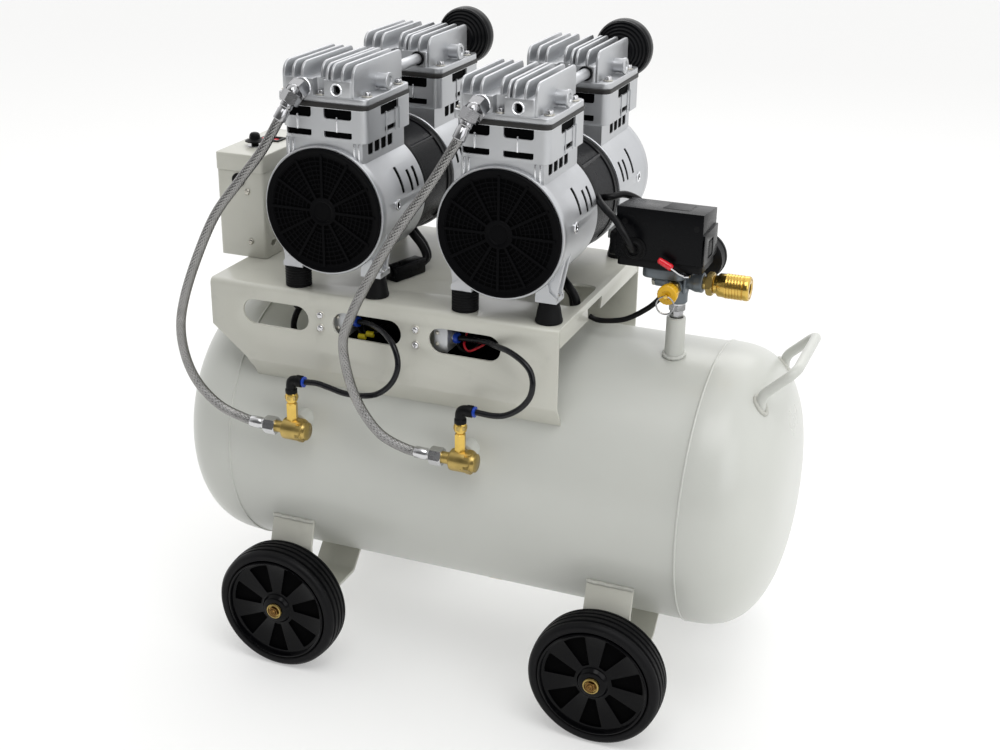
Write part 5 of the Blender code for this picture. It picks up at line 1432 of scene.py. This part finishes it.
def build_coupler():
    x0, x1, x2 = 0.2283, 0.2427, 0.2747
    at = (0, OUTLET_Y, OUTLET_ARM_Z)
    neck = lathe("neck", [(0.0, x0), (0.0066, x0), (0.0066, x0 + 0.011), (0.0, x0 + 0.011)], "X", at,
        BRASS_WORN, steps=40)
    nut = hex_nut("coupler_hex", (x0 + 0.0034, OUTLET_Y, OUTLET_ARM_Z), "X", 0.012, 0.0066, BRASS_WORN,
        roll=0.15)
    barrel = lathe("barrel", [(0.0052, x0 + 0.0104), (0.0088, x0 + 0.0104), (0.0092, x0 + 0.0112),
        (0.0092, x2 - 0.0006), (0.0086, x2), (0.006, x2), (0.0052, x2 - 0.0007), (0.005, x2 - 0.0147)], "X",
        at, BRASS, steps=56)
    # The socket's bottom is a near-black disc: painted shade.
    bottom = rod("socket_bottom", (0.256, OUTLET_Y, OUTLET_ARM_Z), "X", 0.001, 0.0053, SHADE_BLACK, sides=32)
    piece = merge("coupler_barrel", [neck, nut, barrel, bottom])
    put(piece, FRAME_BODY, "brass", "quick_coupler")
    # The sleeve: a smooth band, six narrow grooves, and a rounded lip.
    profile = [(0.0096, x1), (0.0108, x1), (0.0117, x1 + 0.0012), (0.0119, x1 + 0.007)]
    for i in range(6):
        h = x1 + 0.008 + i * 0.003
        profile += [(0.0124, h), (0.0125, h + 0.0006), (0.0125, h + 0.0016), (0.0124, h + 0.002),
            (0.0117, h + 0.0022), (0.0117, h + 0.0028)]
    profile += [(0.0124, x2 - 0.0055), (0.0125, x2 - 0.0045), (0.0124, x2 - 0.002), (0.0118, x2 - 0.0006),
        (0.011, x2), (0.0096, x2)]
    sleeve = lathe("sleeve_ring", profile, "X", at, BRASS, steps=96)
    put(sleeve, "sleeve", "brass", "coupler_sleeve")


def build_safety_valve():
    x = OUTLET_X
    at = (x, 0, SAFETY_Z)
    nut = hex_nut("safety_hex", (x, -0.0455, SAFETY_Z), (0, -1, 0), 0.008, 0.007, BRASS_WORN, roll=0.3)
    neck = lathe("neck", [(0.0, 0.052), (0.0062, 0.052), (0.0062, 0.058), (0.0, 0.058)], (0, -1, 0), at,
        BRASS, steps=36)
    cap = lathe("cap", [(0.0, 0.0575), (0.0078, 0.0575), (0.0086, 0.0582), (0.0092, 0.062), (0.0097, 0.068),
        (0.0098, 0.07), (0.009, 0.0711), (0.0048, 0.0713), (0.0044, 0.0706), (0.0, 0.0706)], (0, -1, 0), at,
        YELLOW, steps=120, wobble=lambda a, h: 0.0004 * max(0.0, math.cos(a * 20)) if 0.0585 < h < 0.0705
        else 0.0)
    put(merge("safety_valve_detail", [nut, neck, cap]), FRAME_BODY, "brass", "safety_valve")
    stem = rod("ring_stem", (x, -0.0716, SAFETY_Z), (0, -1, 0), 0.005, 0.0021, BRASS, sides=24,
        bevel=0.0004)
    ring = [Vector((x + 0.0088 * math.cos(t), -0.0751 + 0.0006 * math.sin(t),
        0.4465 + 0.0088 * math.sin(t))) for t in (math.tau * i / 96 for i in range(97))]
    split = [p + Vector((0, -0.0011 * (i / 96), 0)) for i, p in enumerate(ring)]
    pieces = [stem, sweep("ring", ring, 0.0008, CHROME, 12, caps=False),
        sweep("ring_turn", split, 0.0006, CHROME, 10)]
    put(merge("safety_pull_ring", pieces), "pull_ring", "bright_steel", "safety_valve_ring")


def build_switch():
    low, high = SWITCH_LOW, SWITCH_HIGH
    base = prism("base", rounded_rectangle((low.x + 0.0015, low.y + 0.0015),
        (high.x - 0.0015, high.y - 0.0015), 0.004, 5), low.z, low.z + 0.01, "Z", BLACK_SATIN, 0.0006)
    # The cover: its top falls towards the back, and its right face steps in above the latch.
    fall = 0.005
    outline = [(low.y, low.z + 0.0085), (high.y, low.z + 0.0085), (high.y, high.z - fall), (low.y, high.z)]
    cover = prism("cover", outline, low.x, high.x - 0.0022, "X", BLACK)
    lower = block("lower", (high.x - 0.01, low.y + 0.0005, low.z + 0.0085),
        (high.x, high.y - 0.0005, 0.514), BLACK)
    boolean(cover, [lower], "UNION")
    latch = block("latch", (high.x - 0.003, -0.038, low.z + 0.012), (high.x + 0.01, -0.02, low.z + 0.03),
        BLACK)
    boolean(cover, [latch])
    soften(cover, 0.0014, 3, 25)
    slope = -math.atan2(fall, high.y - low.y)
    cap_top = prism("cap_top", rounded_rectangle((-0.013, -0.016), (0.013, 0.016), 0.002, 4), -0.0004,
        0.0003, "Z", SWITCH_TOP, 0.0002, 1)
    rim = prism("cap_rim", rounded_rectangle((-0.0142, -0.0172), (0.0142, 0.0172), 0.0026, 4), -0.0008,
        0.0001, "Z", BLACK, 0.0002, 1)
    for piece in (cap_top, rim):
        middle = -0.025
        height = high.z - fall * (middle - low.y) / (high.y - low.y)
        piece.data.transform(Matrix.Translation((0.199, middle, height)) @ Matrix.Rotation(slope, 4, "X"))
    cheek = prism("cheek", rounded_rectangle((-0.045, 0.48), (-0.01, 0.504), 0.004, 5), 0.134, 0.146, "X",
        BLACK, 0.0012)
    tongue = block("tongue", (high.x - 0.0028, -0.036, low.z + 0.013),
        (high.x - 0.0004, -0.022, low.z + 0.028), BLACK_SATIN, 0.0008)
    grommet = lathe("grommet", [(0.0, 0.004), (0.005, 0.004), (0.0058, 0.0056), (0.0076, 0.0056),
        (0.0088, 0.004), (0.0094, 0.0016), (0.0115, 0.0012), (0.0115, 0.0), (0.0, 0.0)], (0, -1, 0),
        (0.1633, low.y, 0.493), RUBBER, steps=48)
    pieces = [base, cover, cap_top, rim, cheek, tongue, grommet]
    for x in (0.152, 0.224):
        pieces.append(rod("screw_post", (x, low.y - 0.0002, 0.52), "Y", 0.004, 0.003, BLACK_SATIN,
            sides=24))
    put(merge("pressure_switch_detail", pieces), FRAME_BODY, "black_plastic", "pressure_switch")


def build_gauge():
    """The pressure gauge behind the switch, facing the back."""
    x, z = 0.2133, 0.4713
    y = 0.0025
    case = lathe("gauge_case", [(0.0, 0.0), (0.022, 0.0), (0.0242, 0.0016), (0.0242, 0.015), (0.025, 0.016),
        (0.025, 0.019), (0.0238, 0.02), (0.0228, 0.0186), (0.0, 0.0186)], (0, 1, 0), (x, y, z), BLACK_SATIN,
        steps=80)
    face = lathe("gauge_face", [(0.0, 0.019), (0.0228, 0.019), (0.0228, 0.0186), (0.0, 0.0186)], (0, 1, 0),
        (x, y, z), GLASS_FACE, steps=64)
    pieces = [case, face]
    for i in range(25):
        a = math.radians(225 - 270 * i / 24)
        long_mark = i % 4 == 0
        inner = 0.0165 if long_mark else 0.0185
        mark = block("mark", (inner, 0, -0.00022 if long_mark else -0.00014),
            (0.0208, 0.00015, 0.00022 if long_mark else 0.00014), BLACK)
        mark.data.transform(Matrix.Translation((x, y + 0.019, z)) @ Matrix.Rotation(math.radians(180) + a,
            4, "Y"))
        pieces.append(mark)
    needle = prism("needle", [(-0.004, -0.0006), (0.013, -0.0002), (0.013, 0.0002), (-0.004, 0.0006)], 0.0,
        0.0004, "Y", RED)
    needle.data.transform(Matrix.Translation((x, y + 0.0193, z)) @ Matrix.Rotation(math.radians(45), 4,
        "Y"))
    pieces.append(needle)
    pieces.append(rod("pin", (x, y + 0.019, z), "Y", 0.0012, 0.0014, BLACK, sides=20))
    put(merge("pressure_gauge", pieces), FRAME_BODY, "black_plastic")


# ---- check valves -------------------------------------------------------------------------
def build_check_valve(side):
    x, y, z = CHECK_X[side], CHECK_Y, CHECK_Z
    body = lathe("valve_body", [(0.0, -0.024), (0.0062, -0.024), (0.0062, -0.016), (0.0096, -0.0152),
        (0.0112, -0.014), (0.0115, -0.012), (0.0115, 0.006), (0.0108, 0.0085), (0.0096, 0.01),
        (0.0094, 0.0124), (0.0086, 0.013), (0.0, 0.013)], "X", (x, y, z), BRASS_WORN, steps=64)
    end, before = (Vector(p) for p in (HOSE_ROUTES[side][-1], HOSE_ROUTES[side][-2]))
    back = (before - end).normalized()
    crimp = [(0.0, 0.0), (0.006, 0.0), (0.0062, 0.001), (0.0062, 0.004), (0.0056, 0.0048), (0.0056, 0.0064),
        (0.0062, 0.0072), (0.0062, 0.019), (0.0056, 0.02), (0.0, 0.02)]
    hose_end = lathe("hose_crimp", crimp, back, end - back * 0.003, STEEL, steps=40)
    pieces = [body,
        hex_nut("valve_hex", (x + 0.002, y, z), "X", 0.0126, 0.007, BRASS_WORN, roll=0.26),
        hex_nut("inlet_nut", (x - 0.037, y, z), "X", 0.0096, 0.0132, STEEL, roll=0.1),
        hose_end,
        lathe("nipple", [(0.0, 0.0), (0.0076, 0.0), (0.0076, 0.012), (0.0, 0.012)], "Y",
        (x - 0.006, y + 0.001, z), BRASS_WORN, steps=40),
        hex_nut("post", (x - 0.005, y, z + 0.009), "Z", 0.0058, 0.0205, BRASS, roll=0.2),
        lathe("post_neck", [(0.0, 0.0), (0.005, 0.0), (0.005, 0.001), (0.0042, 0.0016), (0.0042, 0.003),
        (0.0062, 0.0036), (0.0062, 0.011), (0.0056, 0.0122), (0.0, 0.0122)], "Z",
        (x - 0.005, y, z + 0.0292), BRASS, steps=40),
        hex_nut("jam_nut", (x - 0.005, y, z + 0.0345), "Z", 0.007, 0.0045, BRASS_WORN)]
    put(merge(f"check_valve_{side}_detail", pieces), FRAME_BODY, "brass", f"check_valve_{side}")
    # Push-in elbow of black plastic with a blue release collar.
    ex, ez = x - 0.005, z + 0.0555
    bend = smooth_route([(ex, y, ez - 0.014), (ex, y, ez - 0.005), (ex + 0.0014, y, ez - 0.0014),
        (ex + 0.005, y, ez), (ex + 0.011, y, ez)], 0.0008)
    elbow = [sweep("elbow_bend", bend, 0.0053, BLACK_SATIN, 32),
        lathe("elbow_foot", [(0.0, 0.0), (0.006, 0.0), (0.0062, 0.0005), (0.0062, 0.0044), (0.0056, 0.005),
        (0.0, 0.005)], "Z", (ex, y, ez - 0.0144), BLACK_SATIN, steps=40),
        lathe("elbow_mouth", [(0.0, 0.0), (0.006, 0.0), (0.0062, 0.0006), (0.0062, 0.0058),
        (0.0058, 0.0064), (0.0, 0.0064)], "X", (ex + 0.007, y, ez), BLACK_SATIN, steps=40)]
    collar = lathe("release_collar", [(0.0, 0.0), (0.0044, 0.0), (0.0044, 0.0012), (0.0056, 0.0016),
        (0.0056, 0.0028), (0.0032, 0.0032), (0.0, 0.0032)], "X", (ex + 0.0132, y, ez), BLUE, steps=40)
    put(merge(f"unloader_elbow_{side}", elbow + [collar]), FRAME_BODY, "black_plastic")


# ---- solenoids and wiring -----------------------------------------------------------------
def build_solenoid(side):
    """The unloading valve under the platform: its block at the slot's left end takes the air tube."""
    end, before = (Vector(p) for p in (TUBE_ROUTES[side][-1], TUBE_ROUTES[side][-2]))
    out = (before - end).normalized()
    x, y, z = end.x - 0.01, end.y, 0.3965
    body = block("body", (x - 0.0085, y - 0.013, z - 0.0145), (x + 0.0065, y + 0.022, z + 0.0145), CAST,
        0.001)
    nut = hex_nut("fitting", end - out * 0.006, out, 0.0062, 0.006, STEEL, roll=0.3)
    collar = lathe("collar", [(0.0, 0.0), (0.0056, 0.0), (0.0056, 0.0032), (0.0048, 0.0044), (0.0, 0.0044)],
        out, end, BLUE, steps=36)
    # These two near-black boxes behind the skirt's slots are painted shade for the dark space under the
    # platform, dressed as the valve's coil and its cover.
    shade_box = block("shade_box", (x + 0.008, y + 0.012, z - 0.0335), (x + 0.06, y + 0.025, z + 0.0195), SHADE_BLACK,
        0.002, 3)
    cover = block("cover", (x - 0.017, y + 0.023, z - 0.0335), (x + 0.062, y + 0.033, z + 0.0195),
        SHADE_BLACK, 0.002, 3)
    pieces = [body, nut, collar, shade_box, cover]
    for dz in (-0.006, 0.006):
        pieces.append(dome_screw("screw", (x - 0.0045, y - 0.013, z + dz), (0, -1, 0), 0.0022, ZINC_PLATE))
    for i in range(2):
        shift = 0.007 * i
        wire = [(x + 0.011 + shift, y + 0.013, z + 0.004), (x + 0.013 + shift, y - 0.002, z - 0.006),
            (x + 0.019 + shift, y - 0.005, z - 0.012),
            (x + 0.028 + shift, y - 0.003, z - 0.011 + 0.003 * i),
            (x + 0.035 + shift, y + 0.013, z - 0.005)]
        pieces.append(sweep("wire", smooth_route(wire, 0.002), 0.0012, RED if side == "right" and i
            else CABLE, 12))
        if side == "left":
            pieces.append(rod("sleeve", (x + 0.0155 + shift * 1.3, y - 0.0055, z - 0.0145 + 0.004 * i), "X",
                0.008, 0.0032, WIRE_YELLOW, sides=20, bevel=0.0006))
    put(merge(f"solenoid_{side}", pieces), FRAME_BODY, "black_plastic")


def build_cable(name, points, radius=0.0036, material=None):
    route = smooth_route(points, 0.003)
    put(sweep(name, route, radius, material or CABLE, 16), FRAME_BODY, "black_rubber")


def build_wiring():
    # Motor leads: from the right motor's underside into the platform's cable hole.
    px = PUMP_X["right"]
    for i in range(2):
        build_cable(f"motor_lead_{i}", [(px + 0.01 + 0.008 * i, -0.02, PUMP_Z - 0.06),
            (px + 0.019 + 0.008 * i, -0.026, PUMP_Z - 0.074),
            (px + 0.03 + 0.008 * i, -0.03 - 0.006 * i, PUMP_Z - 0.08),
            (px + 0.04 + 0.006 * i, -0.034 - 0.006 * i, PUMP_Z - 0.088),
            (px + 0.043 + 0.006 * i, -0.035 - 0.006 * i, PUMP_Z - 0.101)], 0.0042)
    # From the right motor to the switch: one into the grommet, one round its back.
    build_cable("switch_lead_front", [(0.111, -0.018, 0.53), (0.118, -0.034, 0.531), (0.1321, -0.05, 0.526),
        (0.143, -0.06, 0.5225), (0.153, -0.069, 0.5155), (0.161, -0.071, 0.505), (0.1634, -0.065, 0.496),
        (0.1633, -0.057, 0.493)], 0.0036)
    build_cable("switch_lead_rear", [(0.111, -0.006, 0.526), (0.1226, -0.01, 0.529), (0.133, 0.002, 0.53),
        (0.144, 0.009, 0.525), (0.154, 0.005, 0.52), (0.16, -0.004, 0.518)], 0.0036)
    # A thin lead from under the platform's right flange to the casting.
    build_cable("low_lead", [(0.108, -0.02, 0.403), (0.1199, -0.02, 0.3999), (0.1458, -0.02, 0.4049),
        (0.1683, -0.02, 0.4191), (0.1816, -0.022, 0.4327), (0.19, -0.025, 0.446)], 0.0028)
    # A capped cable end behind the front skirt's left slot.
    build_cable("slot_lead", [(-0.19, -0.104, 0.364), (-0.1915, -0.107, 0.376), (-0.19, -0.104, 0.388),
        (-0.186, -0.098, 0.398), (-0.18, -0.08, 0.41)], 0.0034)
    cap = lathe("cap", [(0.0, 0.0), (0.0085, 0.0), (0.0092, 0.001), (0.0092, 0.011), (0.008, 0.0135),
        (0.0, 0.014)], "Z", (-0.185, -0.098, 0.396), BLACK_SATIN, steps=36)
    put(merge("slot_cap", [cap]), FRAME_BODY, "black_plastic")
    # A loop with its connector beside the left pump.
    px = PUMP_X["left"]
    for i in range(2):
        build_cable(f"plug_lead_{i}", [(px + 0.03, -0.006 - 0.007 * i, PUMP_Z - 0.042),
            (px + 0.04, -0.008 - 0.007 * i, PUMP_Z - 0.0525),
            (px + 0.051, -0.01 - 0.006 * i, PUMP_Z - 0.064),
            (px + 0.0575, -0.015 - 0.004 * i, PUMP_Z - 0.0755),
            (px + 0.054, -0.022 - 0.004 * i, PUMP_Z - 0.0815)], 0.0042)
    build_cable("plug_lead_low", [(px + 0.04, -0.062, PUMP_Z - 0.0815), (px + 0.038, -0.07, PUMP_Z - 0.08),
        (px + 0.034, -0.07, PUMP_Z - 0.07), (px + 0.029, -0.06, PUMP_Z - 0.059),
        (px + 0.023, -0.05, PUMP_Z - 0.052)], 0.0036)
    plug = block("plug", (-0.023, -0.0078, -0.008), (0.023, 0.0078, 0.008), BLACK, 0.0012)
    plug.data.transform(Matrix.Translation((px + 0.0461, -0.0458, PUMP_Z - 0.0815)) @ Matrix.Rotation(1.278,
        4, "Z"))
    put(merge("lead_plug", [plug]), FRAME_BODY, "black_plastic")


def main():
    build_camera()
    build_stage()
    build_hoses()
    build_tank()
    build_handle()
    build_drain_cock()
    for side in ("left", "right"):
        build_strap(side)
        for end in ENDS:
            build_wheel(end, side)
    build_platform()
    build_control_box()
    build_rocker()
    build_reset_button()
    for side in ("left", "right"):
        for end in ENDS:
            build_crankcase(side, end)
            build_grille(side, end)
            build_cylinder(side, end)
            build_head(side, end)
            build_piston(side, end)
        build_elbow(side)
        build_feet(side)
        build_stator(side)
        build_rotor(side)
        build_transfer_pipe(side)
        build_filter(side)
        build_check_valve(side)
    build_manifold()
    build_lever()
    build_coupler()
    build_safety_valve()
    build_switch()
    build_gauge()
    for side in ("left", "right"):
        build_solenoid(side)
    build_wiring()


main()
